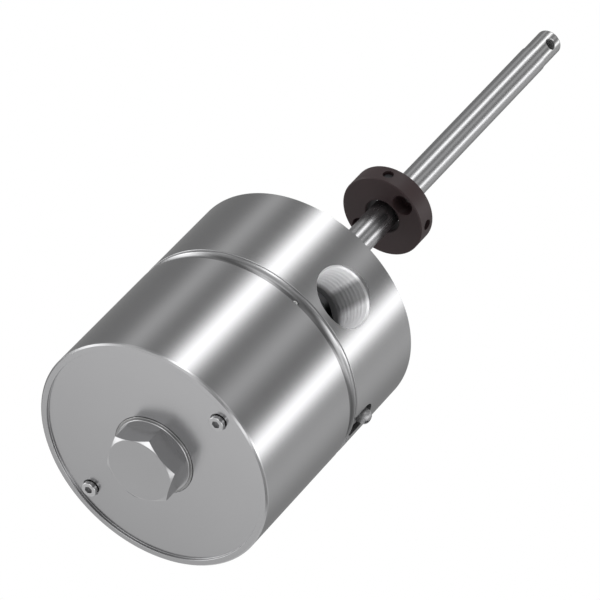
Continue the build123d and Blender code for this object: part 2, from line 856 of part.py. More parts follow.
def make_ring():
    """Magnet ring body with counterbored screw holes and radial magnet holes."""
    end_y = ring_start_y + ring_thickness
    ring = turned(
        (ring_bore_radius + ring_chamfer, ring_start_y),
        (ring_radius - ring_chamfer, ring_start_y),
        (ring_radius, ring_start_y + ring_chamfer),
        (ring_radius, end_y - ring_chamfer),
        (ring_radius - ring_chamfer, end_y),
        (ring_bore_radius + ring_chamfer, end_y),
        (ring_bore_radius, end_y - ring_chamfer),
        (ring_bore_radius, ring_start_y + ring_chamfer),
    )
    for angle in ring_screw_angles:
        x, z = on_circle(ring_screw_circle_radius, angle)
        ring -= rod_between(ring_screw_hole_radius, ring_start_y, end_y, x, z)
        floor_y = ring_start_y + ring_counterbore_depth
        ring -= rod_between(ring_counterbore_radius, ring_start_y, floor_y, x, z)
    middle_y = ring_start_y + ring_thickness / 2
    for angle in magnet_angles:
        ring -= spoke(magnet_hole_radius, magnet_inner_radius, ring_radius, angle, middle_y)
    return ring


def make_magnets():
    """Four magnets in the ring's radial holes."""
    middle_y = ring_start_y + ring_thickness / 2
    radius = magnet_hole_radius - magnet_fit
    outer = ring_radius - magnet_sink
    return [spoke(radius, magnet_inner_radius, outer, angle, middle_y) for angle in magnet_angles]


nodes = {
    "cover": make_cover(),
    "face_screws": make_face_screws(),
    "locking_screws": make_locking_screws(),
    "cover_seal": make_cover_seal(),
    "screw_plug": make_screw_plug(),
    "plug_seal": make_plug_seal(),
    "housing_base": make_base(),
    "earth_saddle": make_earth_saddle(),
    "earth_spring_washer": make_earth_washer(),
    "earth_screw": make_earth_screw(),
    "inner_earth_screw": make_inner_earth_screw(),
    "process_fitting": make_fitting(),
    "fitting_seal": make_fitting_seal(),
    "ring_nut": make_ring_nut(),
    "rod_tube": make_rod_tube(),
    "rod_end_plug": make_end_plug(),
    "guide_tube": make_guide_tube(),
    "guide_bushes": make_guide_bushes(),
    "waveguide_wire": make_waveguide(),
    "return_wire": make_return_wire(),
    "rod_damper": make_rod_damper(),
    "head_housing": make_head_housing(),
    "coil_bobbin": make_bobbin(),
    "pickup_coil": make_coil(),
    "head_damper": make_head_damper(),
    "head_cap": make_head_cap(),
    "head_board": make_head_board(),
    "electronics_carrier": make_carrier(),
    "standoffs": make_standoffs(),
    "main_board": make_main_board(),
    "board_screws": make_board_screws(),
    "board_parts": make_board_parts(),
    "terminal_block": make_terminal_block(),
    "terminal_screws": make_terminal_screws(),
    "magnet_ring_body": make_ring(),
    "ring_magnets": make_magnets(),
}

os.makedirs("parts", exist_ok=True)
for name, shape in nodes.items():
    solids = shape if isinstance(shape, list) else [shape]
    export_step(Compound(children=solids) if len(solids) > 1 else solids[0], f"parts/{name}.step")
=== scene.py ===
import bpy
import numpy as np
from mathutils import Matrix


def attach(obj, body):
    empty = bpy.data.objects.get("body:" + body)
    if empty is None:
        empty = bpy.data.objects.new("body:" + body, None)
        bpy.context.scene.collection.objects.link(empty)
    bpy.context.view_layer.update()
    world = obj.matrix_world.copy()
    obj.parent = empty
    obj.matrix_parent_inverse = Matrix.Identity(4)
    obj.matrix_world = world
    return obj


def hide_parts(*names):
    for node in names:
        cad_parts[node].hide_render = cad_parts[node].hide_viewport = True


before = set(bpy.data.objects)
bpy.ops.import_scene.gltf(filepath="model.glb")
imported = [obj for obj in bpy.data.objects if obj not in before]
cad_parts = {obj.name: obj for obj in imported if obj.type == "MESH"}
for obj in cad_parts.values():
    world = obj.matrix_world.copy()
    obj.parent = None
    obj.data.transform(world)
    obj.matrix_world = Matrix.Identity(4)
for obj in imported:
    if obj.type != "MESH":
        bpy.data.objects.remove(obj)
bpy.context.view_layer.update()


# The camera stands high on the right of the cover and looks past it along the rod.
# Its long lens sits about 1.7 m away, so the round housing shows hardly any perspective.
turn_right, tilt_down = np.radians(30.937), np.radians(38.795)
to_camera = np.array([
    np.sin(turn_right) * np.cos(tilt_down), -np.cos(turn_right) * np.cos(tilt_down), np.sin(tilt_down)])
to_right = np.array([np.cos(turn_right), np.sin(turn_right), 0.0])
to_top = np.cross(to_camera, to_right)
lens = bpy.data.cameras.new("long_lens")
lens.sensor_width, lens.lens = 36.0, 299.68
lens.clip_start, lens.clip_end = 0.05, 20.0
camera = bpy.data.objects.new("camera", lens)
camera.matrix_world = Matrix.Translation((0.677894, -1.139126, 1.060971)) @ Matrix(
    np.stack([to_right, to_top, to_camera], 1).tolist()).to_4x4()
bpy.context.scene.collection.objects.link(camera)
bpy.context.scene.camera = camera


# The cover is a stainless steel cup turned from bar. Its front face lies a millimetre below a narrow
# raised rim, and has a seat for the screw plug and two sunk seats for socket screws.
# A groove runs round it just before the seam, with three tapped holes for locking screws in its floor.
housing_radius, cover_front, seam = 43.675, -101.83, -44.33
face = cover_front + 1.0
plug_seat = face + 0.65
groove_front = seam - 4.5
whole_turn = np.radians(np.arange(-24.0, 337.0))


def polar(radius, y, angle):
    """Points, or ways, from a distance from the sensor's axis, a y, and an angle about the axis:
    (radius cos angle, y, radius sin angle)."""
    return np.stack(np.broadcast_arrays(radius * np.cos(angle), y, radius * np.sin(angle)), -1)


def outline(*corners):
    """Samples (radius, y, normal's radius part, normal's y part) of a turned outline. A corner is
    (radius, y) or (radius, y, rounding). The outward side is to the right of the way of travel, and a
    rounding is an arc that touches both runs, sampled every eighth of a radian."""
    spots = np.array([corner[:2] for corner in corners], float)
    way = np.diff(spots, axis=0)
    way /= np.linalg.norm(way, axis=1)[:, None]
    side = np.stack([way[:, 1], -way[:, 0]], 1)
    rows = [[*spots[0], *side[0]]]
    for spot, corner, before, after, old, new in zip(
            spots[1:], corners[1:], way[:-1], way[1:], side[:-1], side[1:]):
        bend = np.arctan2(before[0] * after[1] - before[1] * after[0], before @ after)
        if len(corner) > 2 and abs(bend) > 1e-6:
            rounding = corner[2] * np.sign(bend)
            start = spot - before * corner[2] * np.tan(abs(bend) / 2)
            part = np.linspace(0, bend, 2 + int(abs(bend) * 8))[:, None]
            facing = old * np.cos(part) + np.array([-old[1], old[0]]) * np.sin(part)
            rows.extend(np.hstack([start + (facing - old) * rounding, facing]).tolist())
        else:
            rows.extend([[*spot, *old], [*spot, *new]])
    rows.append([*spots[-1], *side[-1]])
    return np.array(rows)


def spun(line, angles):
    """A turned surface: every row of an outline at every angle about the sensor's axis."""
    radius, y, facing_out, facing_along = line.T
    return polar(radius, y, angles[:, None]), polar(facing_out, facing_along, angles[:, None])


def on_outline(line, key, angle, place):
    """The surface point at an angle and at a place along an outline: its radius (key 0) or its y (key 1)."""
    radius, y, facing_out, facing_along = (np.interp(place, line[:, key], line[:, k]) for k in range(4))
    return polar(radius, y, angle), polar(facing_out, facing_along, angle)


def window_edge(angles, places):
    """Once round a window in a turned surface, as (angle, place): along its first side, up, back and down."""
    low, high = np.full(len(angles), places[0]), np.full(len(angles), places[-1])
    left, right = np.full(len(places), angles[0]), np.full(len(places), angles[-1])
    return np.concatenate([
        np.stack([angles, low], 1), np.stack([right, places], 1)[1:],
        np.stack([angles[::-1], high], 1)[1:], np.stack([left, places[::-1]], 1)[1:]])


def round_hole(line, key, angles, middle, radius, rows=7):
    """A window of a turned surface with a round hole in it, the hole's edge, and t.
    The hole's point at t is radius sin t along the outline and radius cos t across it. Every row of the
    patch lies between the window's edge and the hole's edge, measured in angle and place."""
    outside = window_edge(angles, np.unique(line[:, key]))
    steps = len(outside) - 1
    t = (np.arange(steps + 1) - (len(angles) - 1) / 2) * 2 * np.pi / steps - np.pi / 2
    along, across = radius * np.sin(t), radius * np.cos(t)
    if key == 0:
        inside = np.stack([middle[0] + np.arctan2(across, middle[1] + along),
                           np.hypot(middle[1] + along, across)], 1)
    else:
        wall = np.interp(middle[1] + along, line[:, 1], line[:, 0])
        inside = np.stack([middle[0] + np.arcsin(across / wall), middle[1] + along], 1)
    share = np.linspace(0, 1, rows)[None, :, None]
    between = outside[:, None] * (1 - share) + inside[:, None] * share
    patch = on_outline(line, key, between[..., 0], between[..., 1])
    return patch, patch[0][:, -1], t


def axis_frame(angle, y):
    """The frame of a radial hole: its middle on the sensor's axis, and its outward, along and across ways."""
    return (np.array([0.0, y, 0.0]), polar(1.0, 0.0, angle), np.array([0.0, 1.0, 0.0]),
            np.array([-np.sin(angle), 0.0, np.cos(angle)]))


def strip(first, second, facing):
    """The surface between two loops of points, with one normal for each pair of points."""
    return np.stack([first, second], 1), np.repeat(facing[:, None], 2, 1)


def radial_hole(edge, t, angle, y, radius, bottom):
    """The wall and the flat floor of a blind hole that goes in from a turned surface."""
    middle, out, along, across = axis_frame(angle, y)
    ring = np.sin(t)[:, None] * along + np.cos(t)[:, None] * across
    foot = middle + bottom * out + radius * ring
    return [strip(edge, foot, -ring), disc(foot, middle + bottom * out, out)]


def disc(ring, centre, facing):
    """A flat face between a ring of points and one centre."""
    points = np.stack([ring, np.broadcast_to(centre, ring.shape)], 1)
    return points, np.broadcast_to(facing, points.shape)


def sunk_hole(edge, middle, floor):
    """The wall and the flat floor of a hole that goes in along the sensor's axis from a face at -Y."""
    foot = edge * [1, 0, 1] + [0, floor, 0]
    inward = middle - edge * [1, 0, 1]
    inward /= np.linalg.norm(inward, axis=1)[:, None]
    return [strip(edge, foot, inward), disc(foot, middle + [0, floor, 0], np.array([0.0, -1.0, 0.0]))]


def skin(name, patches):
    """One mesh from patches, each a grid of points in millimetres and a grid of outward normals.
    Neighbouring grid points i, j; i+1, j; i+1, j+1; i, j+1 make a face, turned to agree with its normals.
    Points within a tenth of a micrometre become one vertex, and a face that this folds shut goes."""
    points, bends, faces, count = [], [], [], 0
    for grid, facing in patches:
        number = np.arange(grid.shape[0] * grid.shape[1]).reshape(grid.shape[:2])
        quads = np.stack(
            [number[:-1, :-1], number[1:, :-1], number[1:, 1:], number[:-1, 1:]], -1).reshape(-1, 4)
        spots, ways = grid.reshape(-1, 3), facing.reshape(-1, 3)
        corner = spots[quads]
        face_way = np.cross(corner[:, 2] - corner[:, 0], corner[:, 3] - corner[:, 1])
        if (face_way * ways[quads].sum(1)).sum() < 0:
            quads = quads[:, ::-1]
        points.append(spots)
        bends.append(ways)
        faces.append(quads + count)
        count += len(spots)
    points, bends, faces = np.concatenate(points), np.concatenate(bends), np.concatenate(faces)
    _, first, joined = np.unique(
        np.round(points / 1e-4 + 0.137), axis=0, return_index=True, return_inverse=True)
    joined = joined.ravel()[faces]
    kept = joined != np.roll(joined, -1, axis=1)
    sides = kept.sum(1)
    four, three = sides == 4, sides == 3
    loops = np.concatenate([joined[four].ravel(), joined[three][kept[three]]])
    loop_bends = np.concatenate([bends[faces[four]].reshape(-1, 3), bends[faces[three][kept[three]]]])
    starts = np.concatenate([np.arange(four.sum()) * 4, four.sum() * 4 + np.arange(three.sum()) * 3])
    mesh = bpy.data.meshes.new(name)
    mesh.vertices.add(len(first))
    mesh.vertices.foreach_set("co", (points[first] * 0.001).astype(np.float32).ravel())
    mesh.loops.add(len(loops))
    mesh.loops.foreach_set("vertex_index", loops.astype(np.int32))
    mesh.polygons.add(len(starts))
    mesh.polygons.foreach_set("loop_start", starts.astype(np.int32))
    mesh.update(calc_edges=True)
    mesh.polygons.foreach_set("use_smooth", np.ones(len(starts), bool))
    mesh.normals_split_custom_set(loop_bends / np.maximum(np.linalg.norm(loop_bends, axis=1), 1e-9)[:, None])
    piece = bpy.data.objects.new(name, mesh)
    bpy.context.scene.collection.objects.link(piece)
    return piece


def fitted(piece, body, material, slot, *nodes):
    """Gives a piece its finish and its body, and hides the solids that it stands for. Its slot is not used.
    """
    piece.data.materials.append(material)
    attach(piece, body)
    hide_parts(*nodes)
    return piece


class Value:
    """A number or colour that changes over a surface. It wraps a node's output socket, and arithmetic
    on it adds the Math nodes that work it out."""

    def __init__(self, shop, socket):
        self.shop, self.socket = shop, socket

    def other(self, name):
        return Value(self.shop, self.socket.node.outputs[name])

    def maths(self, operation, *numbers, clamp=False):
        """A Math node on the numbers. The value that it is called on only says where the node goes."""
        return self.shop.add(
            "ShaderNodeMath", {"operation": operation, "use_clamp": clamp}, dict(enumerate(numbers)))

    def __add__(self, number):
        return self.maths("ADD", self, number)

    def __sub__(self, number):
        return self.maths("SUBTRACT", self, number)

    def __rsub__(self, number):
        return self.maths("SUBTRACT", number, self)

    def __mul__(self, number):
        return self.maths("MULTIPLY", self, number)

    def __truediv__(self, number):
        return self.maths("DIVIDE", self, number)

    def __rtruediv__(self, number):
        return self.maths("DIVIDE", number, self)

    def __pow__(self, number):
        return self.maths("POWER", self, number)

    __radd__, __rmul__ = __add__, __mul__


class Finish:
    """The nodes of one material or of the world, and its shader's sockets."""

    def __init__(self, owner, shader, output):
        owner.use_nodes = True
        self.owner, self.tree = owner, owner.node_tree
        self.tree.nodes.clear()
        self.shader = self.add(shader)
        self.add(output, inputs={"Surface": self.shader})

    def add(self, kind, settings=None, inputs=None, output=0):
        """Adds a node: its settings first, a ramp's stops among them, then each socket's value or link.
        A stop is (place, colour), and one number for a colour stands for a grey."""
        made = self.tree.nodes.new(kind)
        for name, value in (settings or {}).items():
            if name == "stops":
                for element, (place, colour) in zip(made.color_ramp.elements, value):
                    element.position, element.color = place, (*np.broadcast_to(colour, 3).tolist(), 1.0)
            else:
                setattr(made, name, value)
        for name, value in (inputs or {}).items():
            if isinstance(value, Value):
                self.tree.links.new(value.socket, made.inputs[name])
            else:
                made.inputs[name].default_value = value
        return Value(self, made.outputs[output]) if made.outputs else None

    def set(self, **sockets):
        """Sets the shader's own sockets; an underscore in a name stands for a space."""
        for name, value in sockets.items():
            socket = self.shader.socket.node.inputs[name.replace("_", " ")]
            if isinstance(value, Value):
                self.tree.links.new(value.socket, socket)
            else:
                socket.default_value = value
        return self.owner

    def place(self):
        """The point's own x, y and z on the object."""
        spot = self.add("ShaderNodeTexCoord", output="Object")
        x = self.add("ShaderNodeSeparateXYZ", inputs={"Vector": spot})
        return spot, x, x.other("Y"), x.other("Z")

    def clouds(self, spot, scale, detail=3.0, roughness=0.6):
        """Soft noise from 0 to 1 with about `scale` lumps to the metre."""
        return self.add("ShaderNodeTexNoise", inputs={
            "Vector": spot, "Scale": scale, "Detail": detail, "Roughness": roughness})

    def streaks(self, x, y, z, detail=2.0, roughness=0.6):
        """Noise drawn out along some ways: about one lump to each unit of the three numbers."""
        place = self.add("ShaderNodeCombineXYZ", inputs={"X": x, "Y": y, "Z": z})
        return self.clouds(place, 1.0, detail, roughness)

    def lathe_marks(self, x, y, z, per_metre, drift):
        """Rings about the sensor's axis, `per_metre` of them outwards and along it, that slowly change
        with the number `drift`."""
        return self.streaks(from_axis(x, z) * per_metre, y * per_metre, drift, 3.0)

    def colour(self, red, green, blue):
        return self.add("ShaderNodeCombineColor", inputs={0: red, 1: green, 2: blue})

    def bump(self, height, strength, distance):
        return self.add("ShaderNodeBump", inputs={
            "Height": height, "Strength": strength, "Distance": distance})

    def tinted(self, low, high, share):
        """A colour between two colours or greys, by a share from 0 to 1."""
        return self.add("ShaderNodeValToRGB", {"stops": [(0.0, low), (1.0, high)]}, {"Fac": share})


def from_axis(x, z):
    """A point's distance from the sensor's axis."""
    return (x * x + z * z) ** 0.5


def new_finish(name):
    """An empty material, and the point's place, x, y and z on the object for its patterns."""
    finish = Finish(bpy.data.materials.new(name), "ShaderNodeBsdfPrincipled", "ShaderNodeOutputMaterial")
    return finish, *finish.place()


def turned_steel(name, colour, roughness):
    """Steel as the lathe leaves it: rings that are finer than a third of a millimetre, and a satin that is a
    little uneven from place to place. The faced front, up to 0.3 mm behind the sunk face, is a tenth paler
    than the side, and paler still towards its top by 3.5 % to the centimetre and towards +X by 1 %: a painted
    reflection. In the groove it darkens from 0.5 mm below the side, to half as bright from 1 mm below it:
    painted shade."""
    finish, spot, x, y, z = new_finish(name)
    marks, patches = finish.lathe_marks(x, y, z, 3200.0, (x + z) * 14.0), finish.clouds(spot, 38.0, 3.0, 0.55)
    # Painted light: the front's paler tone and its gradient are a painted reflection, and the groove's
    # darkening is painted shade.
    front = x.maths("LESS_THAN", y, (face + 0.3) * 0.001)
    groove_shade = x.maths("MULTIPLY", (housing_radius - 0.5) * 2.0 - from_axis(x, z) * 2000.0,
                     x.maths("GREATER_THAN", y, groove_front * 0.001), clamp=True)
    shade = (0.95 + marks * 0.05 + patches * 0.05) * (1.0 + front * (z * 3.5 + x + 0.1) - groove_shade * 0.5)
    return finish.set(
        Base_Color=finish.colour(*[shade * part for part in colour]), Metallic=1.0,
        Roughness=roughness - 0.03 + patches * 0.04 + marks * 0.03, Normal=finish.bump(marks, 0.25, 6e-6))


# The cover's turned outline comes in runs, and two of them have windows for round holes.
plug_hole, seal_recess, rim_inside, rim_bevel, groove_edge = 10.05, 15.05, 41.2, 0.55, 0.25
cover_back_of_face, cover_bore = face + 7.0, 38.6
socket_radius, socket_floor = 39.2, seam - 15.5
groove_floor, back_step = housing_radius - 1.3, housing_radius - 0.35
face_screw_angles, face_screw_circle = np.radians([45.0, 225.0]), 35.49
seat_radius, seat_floor = 3.15, face + 1.14
locking_angles, grub_y = np.radians([58.7, 178.7, 298.7]), groove_front + 0.25 + 1.0
grub_hole_radius, grub_hole_bottom = 1.03, 39.25
seat_rows = np.linspace(31.5, 39.8, 9)
face_band = outline(*[(radius, face) for radius in seat_rows])
groove_line = outline(
    (housing_radius - groove_edge, groove_front), (groove_floor, groove_front + groove_edge, 0.3),
    (groove_floor, groove_front + 2.55, 2.4), (back_step, groove_front + 3.67, 0.2),
    (back_step, seam - 0.7))
cover_patches = [
    spun(outline((plug_hole, cover_back_of_face), (plug_hole, plug_seat), (seal_recess, plug_seat),
                 (seal_recess, face, 0.1), (seat_rows[0], face)), whole_turn),
    spun(outline((seat_rows[-1], face), (rim_inside, face, 0.15), (rim_inside, cover_front, 0.2),
                 (housing_radius - rim_bevel, cover_front), (housing_radius, cover_front + rim_bevel),
                 (housing_radius, groove_front - groove_edge), (housing_radius - groove_edge, groove_front)),
         whole_turn),
    spun(outline((back_step, seam - 0.7), (back_step, seam - 0.03), (back_step - 0.03, seam),
                 (socket_radius + 0.5, seam), (socket_radius, seam - 0.5), (socket_radius, socket_floor),
                 (cover_bore, socket_floor), (cover_bore, cover_back_of_face, 0.7),
                 (plug_hole, cover_back_of_face)), whole_turn),
]


def cut_band(line, key, angles, place, radius, half_window):
    """A turned band all round, with equal round holes at given angles: (patches of the plain stretches,
    and for each hole its patch, its edge and t). A window reaches half_window degrees to either side."""
    marks = np.degrees(whole_turn)
    plain, found, begin = [], [], 0
    for angle in angles:
        low = int(np.searchsorted(marks, np.degrees(angle) - half_window))
        high = int(np.searchsorted(marks, np.degrees(angle) + half_window))
        plain.append(spun(line, whole_turn[begin:low + 1]))
        found.append(round_hole(line, key, whole_turn[low:high + 1], (angle, place), radius))
        begin = high
    plain.append(spun(line, whole_turn[begin:]))
    return plain, found


plain, screw_seats = cut_band(face_band, 0, face_screw_angles, face_screw_circle, seat_radius, 8)
cover_patches += plain
for angle, (patch, edge, _) in zip(face_screw_angles, screw_seats):
    cover_patches += [patch, *sunk_hole(edge, polar(face_screw_circle, 0.0, angle), seat_floor)]
plain, grub_holes = cut_band(groove_line, 1, locking_angles, grub_y, grub_hole_radius, 3)
cover_patches += plain
for angle, (patch, edge, t) in zip(locking_angles, grub_holes):
    cover_patches += [patch, *radial_hole(edge, t, angle, grub_y, grub_hole_radius, grub_hole_bottom)]
fitted(skin("cover_turned", cover_patches), "housing",
       turned_steel("cover_steel", (0.34, 0.34, 0.345), 0.235), "housing_metal", "cover")


# Two socket-head screws of stainless steel go through the cover's face into the carrier behind it.
# Their heads stand nearly two millimetres proud of their sunk seats.
def hexagon_loop(flats, edge, corner_angle, straight=9):
    """Once round a hexagon about the Y axis: its points' x and z, their outward normals, their distance
    from the axis, their direction from it and their angle. Each side is a straight run at half the flats'
    width and then an arc of the edge's radius."""
    inner = flats / 2 - edge
    bend = np.radians([12.0, 24.0, 36.0, 48.0])
    run = np.linspace(-1, 1, straight) * inner * np.tan(np.pi / 6)
    out = np.concatenate([np.full(straight, flats / 2), inner + edge * np.cos(bend)])
    side = np.concatenate([run, inner * np.tan(np.pi / 6) + edge * np.sin(bend)])
    lean = np.concatenate([np.zeros(straight), bend])
    turn = np.radians(corner_angle + 30 + 60 * np.arange(6))[:, None]
    points = np.stack(
        [out * np.cos(turn) - side * np.sin(turn), out * np.sin(turn) + side * np.cos(turn)], -1)
    normals = np.stack([np.cos(turn + lean), np.sin(turn + lean)], -1)
    points, normals = (np.vstack([loop.reshape(-1, 2), loop[0, :1]]) for loop in (points, normals))
    reach = np.hypot(*points.T)
    return points, normals, reach, points / reach[:, None], np.unwrap(np.arctan2(points[:, 1], points[:, 0]))


def levels(*rows):
    """A patch from rows. Each row is (x and z of its points, their y, normals' x and z, normals' y)."""
    spots, facings = [], []
    for points, y, normals, lean in rows:
        level = np.broadcast_to(np.asarray(y, float), len(points))
        spots.append(np.stack([points[:, 0], level, points[:, 1]], -1))
        tilt = np.sqrt(1 - lean ** 2)
        facings.append(np.stack(
            [normals[:, 0] * tilt, np.full(len(points), float(lean)), normals[:, 1] * tilt], -1))
    return np.stack(spots, 1), np.stack(facings, 1)


def socket_screw(head_radius, head_height, rounding, socket_flats, socket_depth, shank_radius, shank_length):
    """A socket screw that points along +Y, with its seat at y = 0."""
    hexagon, sides, _, rim, round_angles = hexagon_loop(socket_flats, 0.06, 0.0, 4)
    top, floor = -head_height, socket_depth - head_height
    return [
        levels((hexagon * 1.06, top, rim, -1.0), (rim * (head_radius - rounding), top, rim, -1.0)),
        levels((hexagon, top + 0.06, -sides, -0.3), (hexagon * 1.06, top, -sides, -0.9)),
        levels((hexagon, floor, -sides, 0.0), (hexagon, top + 0.06, -sides, 0.0)),
        levels((hexagon * 0.01, floor + 0.35, rim, -1.0), (hexagon, floor, rim, -1.0)),
        spun(outline((head_radius - rounding, top), (head_radius, top, rounding * 0.98), (head_radius, -0.1),
                     (head_radius - 0.1, 0.0), (shank_radius, 0.0), (shank_radius, shank_length - 0.3),
                     (shank_radius - 0.3, shank_length), (0.01, shank_length)), round_angles)]


def moved(patches, turn, shift):
    """Patches with their x, y and z ways turned to the three rows of `turn`, and then shifted."""
    turn = np.array(turn, float)
    return [(points @ turn + shift, normals @ turn) for points, normals in patches]


screw_patches = []
for angle in face_screw_angles:
    spin = angle * 1.7
    screw_patches += moved(
        socket_screw(head_radius=2.75, head_height=3.0, rounding=0.3, socket_flats=2.5, socket_depth=1.6,
                     shank_radius=1.5, shank_length=12.0),
        [[np.cos(spin), 0, np.sin(spin)], [0, 1, 0], [-np.sin(spin), 0, np.cos(spin)]],
        polar(face_screw_circle, seat_floor, angle))


def screw_steel(name, colour, roughness):
    """Plain stainless steel with soft clouds of wear and very fine scratches across it."""
    finish, spot, x, y, z = new_finish(name)
    wear, scratches = finish.clouds(spot, 420.0), finish.streaks(x * 900.0, y * 5200.0, z * 5200.0)
    return finish.set(
        Base_Color=finish.tinted([part * 0.86 for part in colour], colour, wear), Metallic=1.0,
        Roughness=roughness + wear * 0.08 + scratches * 0.04, Normal=finish.bump(scratches, 0.12, 4e-6))


fitted(skin("face_screws_turned", screw_patches), "housing",
       screw_steel("screw_steel", (0.46, 0.46, 0.465), 0.19), "screw_steel", "face_screws")


# Three small grub screws of stainless steel in the groove's floor lock the cover on the base. Each is
# screwed in until it bears on the base's spigot, and shows its hexagon socket.
grub_patches = []
for angle in locking_angles:
    middle, out, along, across = axis_frame(angle, grub_y)
    grub_patches += moved(
        socket_screw(head_radius=1.0, head_height=2.9, rounding=0.18, socket_flats=0.9, socket_depth=1.0,
                     shank_radius=0.8, shank_length=0.05),
        [along, -out, across], out * socket_radius + middle)
fitted(skin("locking_screws_turned", grub_patches), "housing",
       screw_steel("grub_steel", (0.80, 0.80, 0.80), 0.34), "screw_steel", "locking_screws")


# The screw plug is turned and milled from stainless hexagon bar: a bevelled hexagon, a thin round flange,
# a neck for the tool's run-out and a fine thread. It is screwed down on its flat seal.
flange_top, plug_flange = face - 0.8, face - 0.35
hexagon_top, plug_end = flange_top - 8.35, plug_flange + 8.0
plug_flats, plug_bevel, plug_cone = 23.55, 11.78, 1.07 / (13.597 - 11.78)
flange_radius, neck_radius, plug_core, plug_crest, plug_pitch = 14.1, 9.2, 9.15, 10.0, 1.5
thread_start, thread_end = plug_seat + 1.7, plug_end - 0.7
plug_loop, plug_sides, plug_reach, plug_rim, plug_angles = hexagon_loop(plug_flats, 0.3, 15.0)


def bevelled(reach, limit, rise):
    """Depth of a turned bevel on a hexagon: nothing inside its circle, then a cone out to the corners."""
    return np.maximum(reach - limit, 0) * rise


def screw_thread(angles, start, end, core, crest, pitch):
    """A right-hand screw thread about +Y. The height over the core follows the fraction f of a turn,
    y / pitch + angle / (2 pi): all of the crest's height for f within 1/16 of a half, falling straight to
    nothing at 3/8 from it. It fades in and out over one pitch at the two ends. The grid's rows follow the
    helix, 12 to the pitch, and stop at the ends."""
    rows = np.arange(13 + int((end - start) / pitch * 12) + 12)

    def height(angle, y):
        part = (y / pitch + angle / (2 * np.pi)) % 1.0
        ends = np.clip(np.minimum(y - start, end - y) / pitch, 0, 1)
        return np.clip((0.375 - np.abs(part - 0.5)) / 0.3125, 0, 1) * (crest - core) * ends

    angle, row = np.meshgrid(angles, rows, indexing="ij")
    y = np.clip(start + (row / 12 - (angle - angles[0]) / (2 * np.pi)) * pitch, start, end)
    radius = core + height(angle, y)
    step = pitch / 60
    along = (height(angle, y + step) - height(angle, y - step)) / (2 * step)
    around = (height(angle + 0.01, y) - height(angle - 0.01, y)) / (0.02 * radius)
    cosine, sine = np.cos(angle), np.sin(angle)
    normals = np.stack([cosine + around * sine, -along, sine - around * cosine], -1)
    return polar(radius, y, angle), normals / np.linalg.norm(normals, axis=-1, keepdims=True)


plug_rows = [(plug_rim * 0.01, hexagon_top, plug_rim, -1.0)]
for radius, lean in ((11.55, -1.0), (11.75, -0.96), (12.0, -0.862)):
    reach = np.minimum(radius, plug_reach)
    plug_rows.append((
        plug_rim * reach[:, None], hexagon_top + bevelled(reach, plug_bevel, plug_cone), plug_rim, lean))
plug_foot = plug_loop, hexagon_top + bevelled(plug_reach, plug_bevel, plug_cone)
plug_patches = [
    levels(*plug_rows, (*plug_foot, plug_rim, -0.862)),
    levels((*plug_foot, plug_sides, -0.5), (plug_foot[0], plug_foot[1] + 0.1, plug_sides, 0.0),
           (plug_loop, flange_top, plug_sides, 0.0)),
    levels((plug_loop, flange_top, plug_rim, -1.0), (plug_rim * 13.65, flange_top, plug_rim, -1.0)),
    spun(outline((13.65, flange_top), (flange_radius, flange_top, 0.3), (flange_radius, plug_flange),
                 (neck_radius, plug_flange), (neck_radius, thread_start - 0.1), (plug_core, thread_start)),
         plug_angles),
    screw_thread(plug_angles, thread_start, thread_end, plug_core, plug_crest, plug_pitch),
    spun(outline((plug_core, thread_end), (8.6, plug_end), (0.01, plug_end)), plug_angles),
]


def milled_steel(name, colour, roughness):
    """Steel with fine tool marks, straight along the flats and in rings on the turned faces."""
    finish, spot, x, y, z = new_finish(name)
    rings = finish.lathe_marks(x, y, z, 3600.0, (x - z) * 25.0)
    patches = finish.clouds(spot, 110.0, 3.0, 0.55)
    return finish.set(
        Base_Color=finish.tinted([part * 0.92 for part in colour], colour, rings * 0.4 + patches * 0.6),
        Metallic=1.0, Roughness=roughness + patches * 0.05 + rings * 0.03,
        Normal=finish.bump(rings, 0.2, 6e-6))


fitted(skin("screw_plug_turned", plug_patches), "plug",
       milled_steel("plug_steel", (0.36, 0.36, 0.365), 0.2), "plug_metal", "screw_plug")


# A flat ring of pressed fibre lies under the plug's flange, let into the cover's face. It is stamped
# from sheet, and stays on its seat when the plug comes out.
seal_bore, seal_edge = 10.3, 14.9


def pressed_fibre(name):
    """Fibre board faced with graphite: short flecks in a dark grey sheen, and a slightly uneven surface."""
    finish, spot, *_ = new_finish(name)
    flecks = finish.clouds(spot, 2600.0, 4.0, 0.7)
    return finish.set(Base_Color=finish.tinted(0.17, 0.33, flecks), Metallic=0.85,
                      Roughness=0.2 + flecks * 0.12, Normal=finish.bump(flecks, 0.2, 8e-6))


seal_line = outline((seal_bore, plug_flange), (seal_edge, plug_flange, 0.22), (seal_edge, plug_seat),
                    (seal_bore, plug_seat), (seal_bore, plug_flange))
fitted(skin("plug_seal_ring", [spun(seal_line, plug_angles)]), "plug_seal_ring",
       pressed_fibre("grey_fibre"), "plug_seal_fibre", "plug_seal")


# The base is the other half of the housing, turned from the same bar. Its spigot enters the cover, its
# chamber holds the sensing head, and the tapped cable port goes through its wall at 45 degrees.
# A flat-bottomed pocket milled in its front rim takes the outer earth terminal.
rear, chamber_floor, chamber_top, ledge, spigot_end = -8.0, -16.0, -42.0, -46.0, seam - 15.0
front_edge, rear_edge = 0.25, 0.55
spigot_radius, spigot_bore, seal_groove, chamber_radius, shank_hole = 39.15, 34.0, 37.54, 24.5, 12.03
front_ring = spigot_radius + 0.3
port_angle, port_y, port_lead, port_bore, port_end = np.radians(45.0), -30.57, 11.2, 10.6, 10.0
earth_angle, earth_y, pocket_half, pocket_floor = np.radians(-14.3), -37.43, 4.6, 39.775
